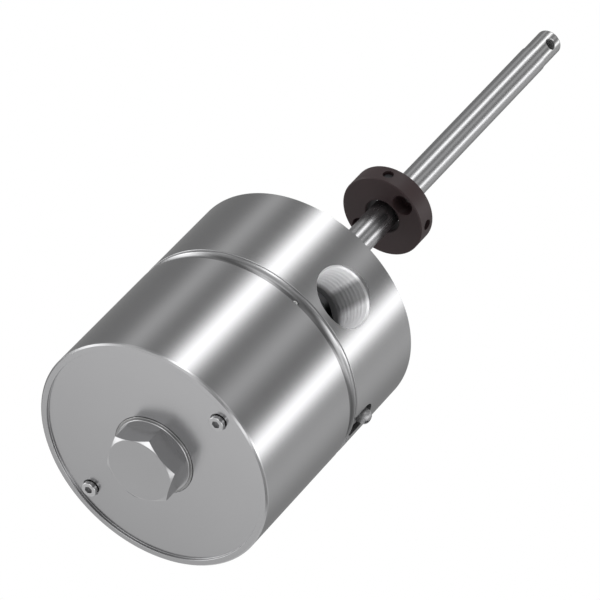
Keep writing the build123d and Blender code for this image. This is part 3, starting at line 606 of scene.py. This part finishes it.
# The turned wall has three windows, on whole degrees: the pocket's up to -4, the port's from 26 to 64,
# and the port's in the chamber from 15 to 75.
pocket_span, past_pocket, port_span, chamber_span = (
    whole_turn[:21], whole_turn[20:], whole_turn[50:89], whole_turn[39:100])
wall_rows = np.linspace(seam + front_edge, rear - rear_edge, 36)
chamber_rows = np.concatenate([[ledge], np.linspace(chamber_top, -19.0, 14)])
wall_line = outline(*[(housing_radius, y) for y in wall_rows])
inner_line = outline(*[(chamber_radius, y) for y in chamber_rows[:0:-1]])[::-1]
front_bevel = np.array([
    [housing_radius - front_edge, seam, 0, -1], [housing_radius, seam + front_edge, 1, 0]])
base_patches = [
    spun(outline((spigot_bore, ledge), (spigot_bore, spigot_end), (spigot_radius - 0.5, spigot_end),
                 (spigot_radius, spigot_end + 0.5), (spigot_radius, seam - 9.0), (seal_groove, seam - 9.0),
                 (seal_groove, seam - 6.6), (spigot_radius, seam - 6.6), (spigot_radius, seam)), whole_turn),
    spun(outline((spigot_radius, seam), (front_ring, seam), (housing_radius - front_edge, seam)),
         past_pocket),
    spun(front_bevel, past_pocket),
    spun(outline((housing_radius, rear - rear_edge), (housing_radius - rear_edge, rear), (shank_hole, rear),
                 (shank_hole, chamber_floor), (chamber_radius, chamber_floor, 1.5),
                 (chamber_radius, -19.0)), whole_turn),
    spun(outline((chamber_radius, chamber_top), (chamber_radius, ledge), (spigot_bore, ledge)), whole_turn),
    spun(wall_line, whole_turn[20:51]), spun(wall_line, whole_turn[88:]),
    spun(inner_line, whole_turn[:40]), spun(inner_line, whole_turn[99:]),
]
rim_patch, _, rim_t = round_hole(wall_line, 1, port_span, (port_angle, port_y), port_lead, 9)
mouth_patch, _, _ = round_hole(inner_line, 1, chamber_span, (port_angle, port_y), port_end, 9)


def port_wall(t):
    """The cable port's wall, at turns t round its axis: a plain lead, a short cone and a tapped bore that
    narrows by one in sixteen. With f = distance / pitch + t / (2 pi), the worn crests of its thread stand
    depth * (1 + cos(2 pi f)) / 2 inside the bore. The grid's rows follow the helix, 12 to the pitch."""
    pitch, depth, mouth, rows = 1.814, 0.09, 41.6145, 170
    middle, out, along, across = axis_frame(port_angle, port_y)
    ring = np.sin(t)[:, None] * along + np.cos(t)[:, None] * across

    def meeting(turn, wall, radius):
        """How far out a round wall meets a line at `radius` from the port's axis:
        sqrt(wall^2 - (radius cos turn)^2)."""
        return np.sqrt(wall ** 2 - (radius * np.cos(turn)) ** 2)

    def bore(turn, distance):
        inner = meeting(turn, chamber_radius, port_end)
        ends = np.clip(np.minimum(distance - inner, mouth - distance) / pitch, 0, 1)
        narrowing = (port_bore - port_end) * (mouth - distance) / (mouth - inner)
        crest = (1 + np.cos(2 * np.pi * distance / pitch + turn)) / 2
        return port_bore - narrowing - crest * depth * ends

    turn = np.broadcast_to(t[:, None], (len(t), rows))
    distance = np.clip(21.5 + (np.arange(rows) / 12 - (turn - t[0]) / (2 * np.pi)) * pitch,
                       meeting(turn, chamber_radius, port_end), mouth)
    step = pitch / 60
    slope = (bore(turn, distance + step) - bore(turn, distance - step)) / (2 * step)
    points = middle + distance[..., None] * out + bore(turn, distance)[..., None] * ring[:, None]
    normals = slope[..., None] * out - ring[:, None]
    cone_start, cone_end, lip = (middle + distance * out + radius * ring for distance, radius in (
        (mouth, port_bore), (mouth + 0.6, port_lead),
        (meeting(t, housing_radius, port_lead)[:, None], port_lead)))
    return [(points, normals / np.linalg.norm(normals, axis=-1, keepdims=True)),
            strip(cone_start, cone_end, (out - ring) / np.sqrt(2)), strip(cone_end, lip, -ring)]


base_patches += [rim_patch, mouth_patch, *port_wall(rim_t)]

# The earth pocket's edge goes from the front up its one side, round its end and back. Its wall goes
# straight in to a flat floor in two halves.
middle, out, along, across = axis_frame(earth_angle, earth_y)
straight = np.concatenate([[seam], np.linspace(seam + front_edge, earth_y, 8)])[:-1] - earth_y
sweep = np.radians(np.linspace(180.0, 0.0, 39))
pocket_across = pocket_half * np.concatenate([np.full(8, -1.0), np.cos(sweep), np.ones(8)])
pocket_along = np.concatenate([straight, pocket_half * np.sin(sweep), straight[::-1]])
pocket_edge_radius = np.where(
    pocket_along < seam + 0.01 - earth_y, housing_radius - front_edge, housing_radius)
pocket_side = earth_angle + np.arcsin(pocket_across / pocket_edge_radius)
pocket_rim = polar(pocket_edge_radius, pocket_along + earth_y, pocket_side)
pocket_foot = middle + pocket_floor * out + pocket_along[:, None] * along + pocket_across[:, None] * across
facing = np.zeros_like(pocket_rim)
facing[:8], facing[-8:] = across, -across
facing[8:47] = -(np.cos(sweep)[:, None] * across + np.sin(sweep)[:, None] * along)
halves = np.stack([pocket_foot[:28], (pocket_foot[:28] + pocket_foot[:26:-1]) / 2, pocket_foot[:26:-1]], 1)
base_patches += [strip(pocket_rim, pocket_foot, facing), (halves, np.broadcast_to(out, halves.shape))]

# The turned wall round the pocket: every row lies between its edge and a window of whole degrees.
pocket_loop = np.stack([pocket_side, pocket_along + earth_y], 1)[1:-1]
window = np.concatenate([
    np.stack([np.full(17, pocket_span[0]), wall_rows[:17]], 1),
    np.stack([pocket_span[1:], np.full(20, wall_rows[16])], 1),
    np.stack([np.full(16, pocket_span[-1]), wall_rows[15::-1]], 1)])
share = np.linspace(0, 1, 9)[None, :, None]
between = window[:, None] * (1 - share) + pocket_loop[:, None] * share
base_patches += [on_outline(wall_line, 1, between[..., 0], between[..., 1]),
                 spun(wall_line[32:], pocket_span)]

# The front's bevel on both sides of the pocket, and the front itself, in from the bevel and the
# pocket's floor to a plain ring.
bevel_feet = []
for start, high, low in ((pocket_span[0], pocket_side[1], pocket_side[0]),
                         (pocket_span[-1], pocket_side[-2], pocket_side[-1])):
    high, low = np.linspace(start, high, 9), np.linspace(start, low, 9)
    foot = polar(housing_radius - front_edge, seam, low)
    base_patches.append((np.stack([polar(housing_radius, seam + front_edge, high), foot], 1),
                         np.stack([polar(1.0, 0.0, high), polar(0.0, -1.0, low)], 1)))
    bevel_feet.append((low, foot))
(near_low, near_foot), (far_low, far_foot) = bevel_feet
corner = np.arcsin(pocket_half / np.hypot(pocket_half, pocket_floor))
path_angles = np.concatenate([
    np.minimum(near_low, earth_angle - corner), [earth_angle - corner, earth_angle, earth_angle + corner],
    np.maximum(far_low[::-1], earth_angle + corner)])
front = np.stack([
    polar(spigot_radius, seam, pocket_span), polar(front_ring, seam, path_angles),
    np.concatenate([near_foot, halves[0], far_foot[::-1]])], 1)
base_patches.append((front, np.broadcast_to([0.0, -1.0, 0.0], front.shape)))


def from_slant_axis(x, y, z, height):
    """A point's distance from the axis of a hole at 45 degrees to X and Z, at `height` mm along Y."""
    return ((x - z) * (x - z) * 0.5 + (y - height * 0.001) * (y - height * 0.001)) ** 0.5


def tapped_and_turned(name):
    """The turned steel of the housing, with rougher cut surfaces in the tapped port and the earth pocket:
    all within the port's radius of its axis, and all within the pocket's round-ended edge. The pocket is
    darker by 0.14 and the port by 0.19, both painted shade. The port's outer part is paler by 0.21, which
    lifts that painted shade again: none of it up to 26.5 mm from the sensor's axis, all of it from 29.5 mm.
    There the flanks are paler by 0.62 more, a painted reflection: none within 2.4 mm of a line 3 mm beside
    the middle, all beyond 4.4 mm, and between them by the square."""
    finish, spot, x, y, z = new_finish(name)
    rings = finish.lathe_marks(x, y, z, 2900.0, (x + z) * 14.0)
    patches = finish.clouds(spot, 38.0, 3.0, 0.55)
    off_axis = from_slant_axis(x, y, z, port_y)
    port = (x.maths("LESS_THAN", off_axis, 0.01121) + x.maths("LESS_THAN", off_axis, 0.01062)) * 0.5
    port = port * x.maths("GREATER_THAN", x + z, 0.034)
    flank = (z - x) * 133.0 + 0.56
    flank_highlight = x.maths("MULTIPLY_ADD", flank * flank, 2.0, -0.4, clamp=True)
    open_part = x.maths("MULTIPLY_ADD", x + z, 240.0, -9.0, clamp=True)
    outward = x * np.cos(earth_angle) + z * np.sin(earth_angle)
    sideways = x.maths("ABSOLUTE", z * np.cos(earth_angle) - x * np.sin(earth_angle))
    beyond = x.maths("MAXIMUM", y - earth_y * 0.001, 0.0)
    pocket = x.maths("LESS_THAN", (sideways * sideways + beyond * beyond) ** 0.5, 0.00461)
    pocket = pocket * x.maths("GREATER_THAN", outward, 0.0397)
    # Painted light: shade in the pocket and deep in the port, and reflections on the port's flanks.
    tone = 0.34 + port * (open_part * (flank_highlight * 0.62 + 0.21) - 0.19) - pocket * 0.14
    shade = (0.94 + rings * 0.06 + patches * 0.06) * tone
    return finish.set(
        Base_Color=finish.colour(shade, shade, shade * 1.012), Metallic=1.0 - port * 0.75,
        Roughness=0.205 + patches * 0.04 + rings * 0.03 + (port + pocket) * 0.2,
        Normal=finish.bump(rings, 0.25, 6e-6))


fitted(skin("base_turned", base_patches), "housing", tapped_and_turned("base_steel"), "housing_metal",
       "housing_base")


# The outer earth terminal: a bent saddle, a spring washer and a round-head screw, all plain steel.
# The solids' own shapes show here, in a finish of small scratches and dull clouds.
def repaint(finish, *names):
    """Puts a finish on solids that keep their own shape."""
    for name in names:
        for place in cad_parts[name].material_slots:
            place.link = "OBJECT"
            place.material = finish


repaint(screw_steel("terminal_steel", (0.32, 0.32, 0.325), 0.42),
        "earth_screw", "earth_saddle", "earth_spring_washer", "inner_earth_screw", "board_screws",
        "terminal_screws")


# The process fitting is one piece of stainless hexagon bar: a shank that goes through the base, a hexagon
# for the spanner, a recess for the O-ring and a stem with an M18 by 1.5 thread.
flats, bevel_radius, bevel_lean, recess, recess_radius = 46.0, 22.6, 0.927, -1.3, 10.2
shank_radius, shank_end, stem_neck, rod_hole = 12.0, -32.0, 7.7, 5.12
stem_core, stem_crest, stem_start, crests_end, stem_end = 8.15, 9.0, 3.05, 21.2, 22.0
fitting_loop, fitting_sides, fitting_reach, fitting_rim, fitting_angles = hexagon_loop(flats, 0.4, 0.0)
bevel = bevelled(fitting_reach, bevel_radius, 1.6 / (flats / np.sqrt(3) - bevel_radius))
fitting_patches = [
    levels((fitting_rim * shank_radius, rear, fitting_rim, -1.0),
           (fitting_rim * bevel_radius, rear, fitting_rim, -1.0)),
    levels((fitting_rim * bevel_radius, rear, fitting_rim, -bevel_lean),
           (fitting_loop, rear + bevel, fitting_rim, -bevel_lean)),
    levels((fitting_loop, rear + bevel, fitting_sides, 0.0), (fitting_loop, -bevel, fitting_sides, 0.0)),
    levels((fitting_loop, -bevel, fitting_rim, bevel_lean),
           (fitting_rim * bevel_radius, 0.0, fitting_rim, bevel_lean)),
    levels((fitting_rim * bevel_radius, 0.0, fitting_rim, 1.0),
           (fitting_rim * recess_radius, 0.0, fitting_rim, 1.0)),
    spun(outline((recess_radius, 0.0), (recess_radius, recess, 0.15), (stem_neck, recess, 0.2),
                 (stem_neck, 2.6, 0.3), (stem_core, stem_start)), fitting_angles),
    screw_thread(fitting_angles, stem_start, crests_end, stem_core, stem_crest, 1.5),
    spun(outline((stem_core, crests_end), (7.6, stem_end), (5.4, stem_end), (rod_hole, stem_end - 0.28),
                 (rod_hole, shank_end), (shank_radius - 0.6, shank_end), (shank_radius, shank_end + 0.6),
                 (shank_radius, rear)), fitting_angles),
]
fitted(skin("process_fitting_turned", fitting_patches), "housing",
       milled_steel("fitting_steel", (0.36, 0.36, 0.365), 0.22), "fitting_steel", "process_fitting")
repaint(milled_steel("nut_steel", (0.36, 0.36, 0.365), 0.24), "ring_nut")


# O-rings of black rubber at the stem's root and in the spigot's groove, moulded, with a soft bloom.
def moulded_rubber(name, dark, light):
    """Rubber with a fine grain and a faint bloom in clouds."""
    finish, spot, *_ = new_finish(name)
    grain, bloom = finish.clouds(spot, 5200.0, 2.0), finish.clouds(spot, 240.0)
    return finish.set(Base_Color=finish.tinted(dark, light, bloom), Roughness=0.42 + bloom * 0.2,
                      Normal=finish.bump(grain, 0.2, 1e-5))


section, cord_radius = np.linspace(0, 2 * np.pi, 33), 1.05
ring_line = np.stack([8.78 + cord_radius * np.cos(section), cord_radius * np.sin(section) - 0.22,
                      np.cos(section), np.sin(section)], 1)
fitted(skin("stem_o_ring", [spun(ring_line, whole_turn)]), "housing",
       moulded_rubber("o_ring_rubber", 0.012, 0.03), "seal_rubber", "fitting_seal")
repaint(moulded_rubber("seal_rubber", 0.012, 0.03), "cover_seal")


# The rod is a ground seamless tube of stainless steel, brazed in the fitting. A plug with a rounded tip
# and a cross hole is welded in its end.
rod_radius, rod_bore, tip_radius, rod_end, plug_start = 5.1, 3.6, 4.85, 167.77, 154.67
cross_y, cross_radius, cross_edge = 162.47, 2.0, 0.2


def ground_steel(name, colour, roughness):
    """Ground steel: very fine hoops round the rod and long faint streaks along it."""
    finish, _, x, y, z = new_finish(name)
    hoops = finish.streaks(x * 40.0, y * 5200.0, z * 40.0)
    streaks = finish.streaks(x * 700.0, y * 9.0, z * 700.0, 3.0, 0.55)
    return finish.set(
        Base_Color=finish.tinted([part * 0.95 for part in colour], colour, streaks), Metallic=1.0,
        Roughness=roughness + streaks * 0.05 + hoops * 0.03, Normal=finish.bump(hoops, 0.03, 3e-6))


def drilled_tip(name, colour, roughness):
    """The ground steel, but duller in the cross hole, and darker there with painted shade: all within its
    radius of its axis.
    """
    finish, _, x, y, z = new_finish(name)
    streaks = finish.streaks(x * 700.0, y * 9.0, z * 700.0, 3.0, 0.55)
    inside = x.maths("LESS_THAN", from_slant_axis(x, y, z, cross_y), 0.00202)
    # The cross hole's darker colour is painted shade.
    shade = (0.95 + streaks * 0.05) * (colour - inside * 0.2)
    return finish.set(
        Base_Color=finish.colour(shade, shade, shade), Metallic=1.0 - inside * 0.9,
        Roughness=roughness + streaks * 0.05 + inside * 0.35, Normal=finish.bump(streaks, 0.1, 3e-6))


rod_steel = ground_steel("rod_steel", (0.345, 0.345, 0.35), 0.225)
tube_line = outline((rod_bore, -16.0), (rod_radius, -16.0), (rod_radius, plug_start, 0.1),
                    (rod_bore, plug_start), (rod_bore, -16.0))
fitted(skin("rod_tube_ground", [spun(tube_line, whole_turn)]), "housing", rod_steel, "rod_steel", "rod_tube")
tip_rows = np.linspace(cross_y - 3.4, cross_y + 3.4, 15)
plain, ((near, near_edge, t), (far, far_edge, _)) = cut_band(
    outline(*[(tip_radius, y) for y in tip_rows]), 1, np.radians([45.0, 225.0]), cross_y,
    cross_radius + cross_edge, 34)
_, out, along, across = axis_frame(np.radians(45.0), 0.0)
hole_ring = np.sin(t)[:, None] * along + np.cos(t)[:, None] * across
# The far edge's points are put in the order of the near edge's, which goes round the other way.
far_edge = far_edge[(68 - np.arange(len(t))) % (len(t) - 1)]
near_foot, far_foot = near_edge - cross_edge * (out + hole_ring), far_edge + cross_edge * (out - hole_ring)
tip_patches = [
    *plain, near, far, strip(near_edge, near_foot, (out - hole_ring) / np.sqrt(2)),
    strip(far_edge, far_foot, (-out - hole_ring) / np.sqrt(2)), strip(near_foot, far_foot, -hole_ring),
    spun(outline((0.01, plug_start - 3.0), (3.57, plug_start - 3.0), (3.57, plug_start),
                 (tip_radius - 0.15, plug_start), (tip_radius, plug_start + 0.15),
                 (tip_radius, tip_rows[0])), whole_turn),
    spun(outline((tip_radius, tip_rows[-1]), (tip_radius, rod_end, 0.8), (0.01, rod_end)), whole_turn)]
fitted(skin("rod_end_plug_turned", tip_patches), "housing", drilled_tip("tip_steel", 0.345, 0.225),
       "rod_steel", "rod_end_plug")


# The magnet ring is dark anodised aluminium with two counterbored screw holes. Four radial holes hold
# the magnets, which are sunk below its rim.
ring_front, ring_back, ring_middle = 47.06, 55.13, 51.095
ring_radius, ring_bore, ring_edge = 15.75, 6.55, 0.35
ring_screw_circle, head_hole, screw_hole, head_seat = 11.3, 3.9, 2.0, ring_front + 4.9
magnet_hole, magnet_floor = 1.95, 8.2
ring_screw_angles, magnet_angles = np.radians([45.0, 225.0]), np.radians([0.0, 90.0, 180.0, 270.0])
face_radii = np.linspace(ring_bore + ring_edge, ring_radius - ring_edge, 11)
rim_rows = np.linspace(ring_front + ring_edge, ring_back - ring_edge, 9)
front_band = outline(*[(radius, ring_front) for radius in face_radii])
back_band = outline(*[(radius, ring_back) for radius in face_radii[::-1]])[::-1]
rim_band = outline(*[(ring_radius, y) for y in rim_rows])
ring_patches = [
    spun(outline((face_radii[-1], ring_front), (ring_radius, rim_rows[0])), whole_turn),
    spun(outline((ring_radius, rim_rows[-1]), (face_radii[-1], ring_back)), whole_turn),
    spun(outline((face_radii[0], ring_back), (ring_bore, rim_rows[-1]), (ring_bore, rim_rows[0]),
                 (face_radii[0], ring_front)), whole_turn)]
front_plain, bores = cut_band(front_band, 0, ring_screw_angles, ring_screw_circle, head_hole, 24)
back_plain, exits = cut_band(back_band, 0, ring_screw_angles, ring_screw_circle, screw_hole, 24)
rim_plain, magnet_holes = cut_band(rim_band, 1, magnet_angles, ring_middle, magnet_hole, 12)
ring_patches += front_plain + back_plain + rim_plain
for angle, (patch, edge, _), (back_patch, back_edge, _) in zip(ring_screw_angles, bores, exits):
    step_out, step_in = (loop * [1, 0, 1] + [0, head_seat, 0] for loop in (edge, back_edge))
    inward = (polar(ring_screw_circle, 0.0, angle) - edge * [1, 0, 1]) / head_hole
    ring_patches += [
        patch, back_patch, strip(edge, step_out, inward),
        strip(step_out, step_in, np.broadcast_to([0.0, -1.0, 0.0], edge.shape)),
        strip(step_in, back_edge, inward)]
for angle, (patch, edge, t) in zip(magnet_angles, magnet_holes):
    ring_patches += [patch, *radial_hole(edge, t, angle, ring_middle, magnet_hole, magnet_floor)]


def anodised(name, dark, light):
    """Dark anodised metal: a brown-black film over turned rings, with a soft sheen."""
    finish, spot, x, y, z = new_finish(name)
    rings = finish.lathe_marks(x, y, z, 2600.0, (x + z) * 18.0)
    film = finish.clouds(spot, 90.0, 3.0, 0.55)
    return finish.set(
        Base_Color=finish.tinted(dark, light, film * 0.6 + rings * 0.4), Specular_IOR_Level=0.29,
        Roughness=0.46 + film * 0.08, Normal=finish.bump(rings, 0.2, 6e-6))


fitted(skin("magnet_ring_turned", ring_patches), "magnet_ring",
       anodised("ring_film", (0.0165, 0.0090, 0.0095), (0.031, 0.0170, 0.0178)), "ring_anodised",
       "magnet_ring_body")


# The measuring element lies in the rod: a drawn brass tube, and in it moulded bushes that hold the
# waveguide wire on the axis, a copper wire that brings the current back, and a rubber damper.
# All inner parts keep their solids' shapes. The carrier's standoffs are of the same brass.
def plain_plastic(name, dark, light, roughness, grain_scale=1800.0):
    """Moulded plastic: an even colour in soft clouds under a fine leathery grain."""
    finish, spot, *_ = new_finish(name)
    clouds, grain = finish.clouds(spot, 60.0, 2.0, 0.5), finish.clouds(spot, grain_scale)
    return finish.set(Base_Color=finish.tinted(dark, light, clouds), Roughness=roughness + grain * 0.12,
                      Normal=finish.bump(grain, 0.15, 1.5e-5))


def drawn_metal(name, dark, light, roughness):
    """Drawn metal with fine lines along Y, and tarnish in clouds."""
    finish, spot, x, y, z = new_finish(name)
    lines = finish.streaks(x * 3000.0, y * 60.0, z * 3000.0)
    return finish.set(Base_Color=finish.tinted(dark, light, finish.clouds(spot, 200.0)), Metallic=1.0,
                      Roughness=roughness + lines * 0.08, Normal=finish.bump(lines, 0.15, 4e-6))


repaint(drawn_metal("inner_brass", (0.50, 0.34, 0.12), (0.66, 0.48, 0.20), 0.25), "guide_tube", "standoffs")
repaint(plain_plastic("natural_plastic", (0.58, 0.54, 0.44), (0.68, 0.64, 0.55), 0.4),
        "coil_bobbin", "guide_bushes")
repaint(drawn_metal("waveguide_alloy", (0.34, 0.33, 0.31), (0.46, 0.45, 0.42), 0.28), "waveguide_wire")
repaint(drawn_metal("return_copper", (0.42, 0.16, 0.08), (0.62, 0.27, 0.14), 0.25), "return_wire")
repaint(moulded_rubber("damping_rubber", (0.05, 0.05, 0.055), (0.09, 0.09, 0.095)),
        "rod_damper", "head_damper")


# The sensing head stands in the base's chamber: a moulded black case with a pressed-in cap, and in it
# a coil of enamelled copper wire, wound on its bobbin. Some of it shows through the cable port.
def wound_copper(name):
    """Enamelled wire in close turns: the sine of y with a tenth of a millimetre to the turn."""
    finish, _, _, y, _ = new_finish(name)
    turns = y.maths("SINE", y * 62832.0) * 0.5 + 0.5
    return finish.set(Base_Color=finish.tinted((0.28, 0.08, 0.03), (0.62, 0.25, 0.11), turns), Metallic=0.9,
                      Roughness=0.3 + turns * 0.08, Normal=finish.bump(turns, 0.6, 4e-5))


repaint(plain_plastic("head_plastic", 0.012, 0.022, 0.42), "head_housing", "head_cap")
repaint(wound_copper("coil_winding"), "pickup_coil")


# The electronics sit under the cover: a moulded carrier, glass-fibre boards with black components
# soldered on, and a green screw terminal block. The head's own small board is of the same laminate.
def laminate(name):
    """Green solder mask over a glass weave, with faint copper tracks in two directions: a track is where
    the fraction of 260 times x or z in metres, shifted by soft noise, lies within 0.08 of a half."""
    finish, spot, x, y, z = new_finish(name)
    weave = finish.streaks(x * 2400.0, y * 60.0, z * 2400.0, 1.0, 0.5)
    across, along = (
        x.maths("COMPARE", x.maths("FRACT", way * 260.0 + finish.clouds(spot, scale, 2.0, 0.5)), 0.5, 0.08)
        for way, scale in ((x, 55.0), (z, 70.0)))
    tracks = x.maths("MAXIMUM", across, along)
    return finish.set(
        Base_Color=finish.tinted((0.006, 0.065, 0.022), (0.02, 0.14, 0.05), tracks * 0.7 + weave * 0.3),
        Roughness=0.3 + weave * 0.1, Normal=finish.bump(tracks, 0.25, 2e-5))


repaint(plain_plastic("carrier_plastic", 0.018, 0.03, 0.48), "electronics_carrier")
repaint(laminate("board_laminate"), "main_board", "head_board")
repaint(plain_plastic("component_black", 0.01, 0.02, 0.3), "board_parts")
repaint(plain_plastic("terminal_green", (0.03, 0.15, 0.05), (0.05, 0.21, 0.08), 0.38), "terminal_block")


# The ring's four magnets are pressed and fired ferrite rods, glued in its rim holes.
repaint(plain_plastic("magnet_ferrite", (0.018, 0.018, 0.02), (0.035, 0.035, 0.038), 0.45, 4200.0),
        "ring_magnets")


# A plain pale floor a hand's width below, and a soft white studio round it. Long softboxes overhead
# and at the sides run parallel to the rod, as they do for polished metal. Small lamps stand in front.
# Each softbox: its middle and width in degrees about the rod's axis, its centre and reach along the rod,
# and its height. Each lamp: the direction to it, its spread and its height.
softboxes = (
    (-5.4, 9.5, 0.75, 0.6, 4.0), (93.6, 10.0, 0.75, 0.6, 4.2), (44.6, 11.0, 0.7, 0.5, 0.7),
    (143.6, 11.0, 0.7, 0.5, 0.66), (-46.0, 26.0, 0.7, 0.5, 0.52), (15.0, 14.0, -0.5, 0.3, 3.2),
    (2.0, 20.0, -0.05, 0.25, 2.5), (88.0, 20.0, -0.05, 0.25, 2.5), (-12.0, 16.0, -0.28, 0.14, 1.5),
    (162.0, 14.0, -0.02, 0.3, 5.0), (88.0, 16.0, -0.5, 0.35, 0.8))
front_lamps = (
    ((-0.15, -0.945, 0.29), 0.05, 3.2), ((0.38, -0.80, -0.46), 0.025, 3.2),
    ((-0.85, -0.50, -0.16), 0.045, 3.0), ((-0.60, -0.72, 0.36), 0.05, 0.8))


def studio(shop):
    """Brightness of the studio by direction: 0.31 all round, and more for each light. a is the direction's
    angle about the rod's axis and y its share along the rod. Each softbox adds
    height * exp(-((a - middle) / width)^2 - ((y - centre) / reach)^2), and each lamp adds
    height * exp((direction . lamp - 1) / spread). The camera itself sees white."""
    way = shop.add("ShaderNodeTexCoord", output="Generated")
    x = shop.add("ShaderNodeSeparateXYZ", inputs={"Vector": way})
    y, z = x.other("Y"), x.other("Z")
    angle = x.maths("ARCTAN2", z, x) * (180 / np.pi)
    light = 0.31
    for middle, width, centre, reach, height in softboxes:
        off, along = (angle - middle) / width, (y - centre) / reach
        light = x.maths("EXPONENT", (off * off + along * along) * -1.0) * height + light
    for lamp, spread, height in front_lamps:
        near = shop.add("ShaderNodeVectorMath", {"operation": "DOT_PRODUCT"}, {0: way, 1: lamp}, "Value")
        light = x.maths("EXPONENT", (near - 1.0) / spread) * height + light
    path = shop.add("ShaderNodeLightPath", output="Is Camera Ray")
    return shop.set(Color=shop.add("ShaderNodeMix", {"data_type": "RGBA"}, {
        0: path, 6: shop.colour(light, light, light), 7: (1.0, 1.0, 1.0, 1.0)}, output=2), Strength=1.0)


world = bpy.data.worlds.new("studio")
bpy.context.scene.world = world
studio(Finish(world, "ShaderNodeBackground", "ShaderNodeOutputWorld"))

floor_middle, floor_radius, floor_level = np.array([-0.10, -0.33]), 0.36, -0.24
floor_turn = np.radians(np.arange(0.0, 360.0, 5.0))
floor_rim = np.stack([floor_middle[0] + floor_radius * np.cos(floor_turn),
                      floor_middle[1] + floor_radius * np.sin(floor_turn),
                      np.full(len(floor_turn), floor_level)], 1)
floor_mesh = bpy.data.meshes.new("floor")
floor_mesh.from_pydata(floor_rim.tolist(), [], [list(range(len(floor_rim)))])
floor = bpy.data.objects.new("floor", floor_mesh)
bpy.context.scene.collection.objects.link(floor)


def pale_floor(name):
    """White to the camera and in reflections, and under the sensor a share of plain matt floor that keeps
    its shadow. The share is exp(-(distance from the sensor / 0.2 m)^2) / 12."""
    finish = Finish(bpy.data.materials.new(name), "ShaderNodeMixShader", "ShaderNodeOutputMaterial")
    _, x, y, _ = finish.place()
    share = x.maths("EXPONENT", (x * x + y * y) * -25.0) / 12.0
    ray = finish.add("ShaderNodeLightPath", output="Is Camera Ray")
    seen = ray.maths("MAXIMUM", ray.maths("MAXIMUM", ray, ray.other("Is Glossy Ray")),
                     ray.other("Is Transmission Ray"))
    finish.tree.links.new((seen * (1.0 - share)).socket, finish.shader.socket.node.inputs[0])
    matt = finish.add("ShaderNodeBsdfDiffuse", inputs={"Color": (0.86, 0.86, 0.86, 1)})
    white = finish.add("ShaderNodeEmission", inputs={"Color": (1, 1, 1, 1), "Strength": 1.0})
    finish.tree.links.new(matt.socket, finish.shader.socket.node.inputs[1])
    finish.tree.links.new(white.socket, finish.shader.socket.node.inputs[2])
    return finish.owner


floor_mesh.materials.append(pale_floor("pale_floor"))
bpy.context.scene.view_settings.view_transform = "Standard"
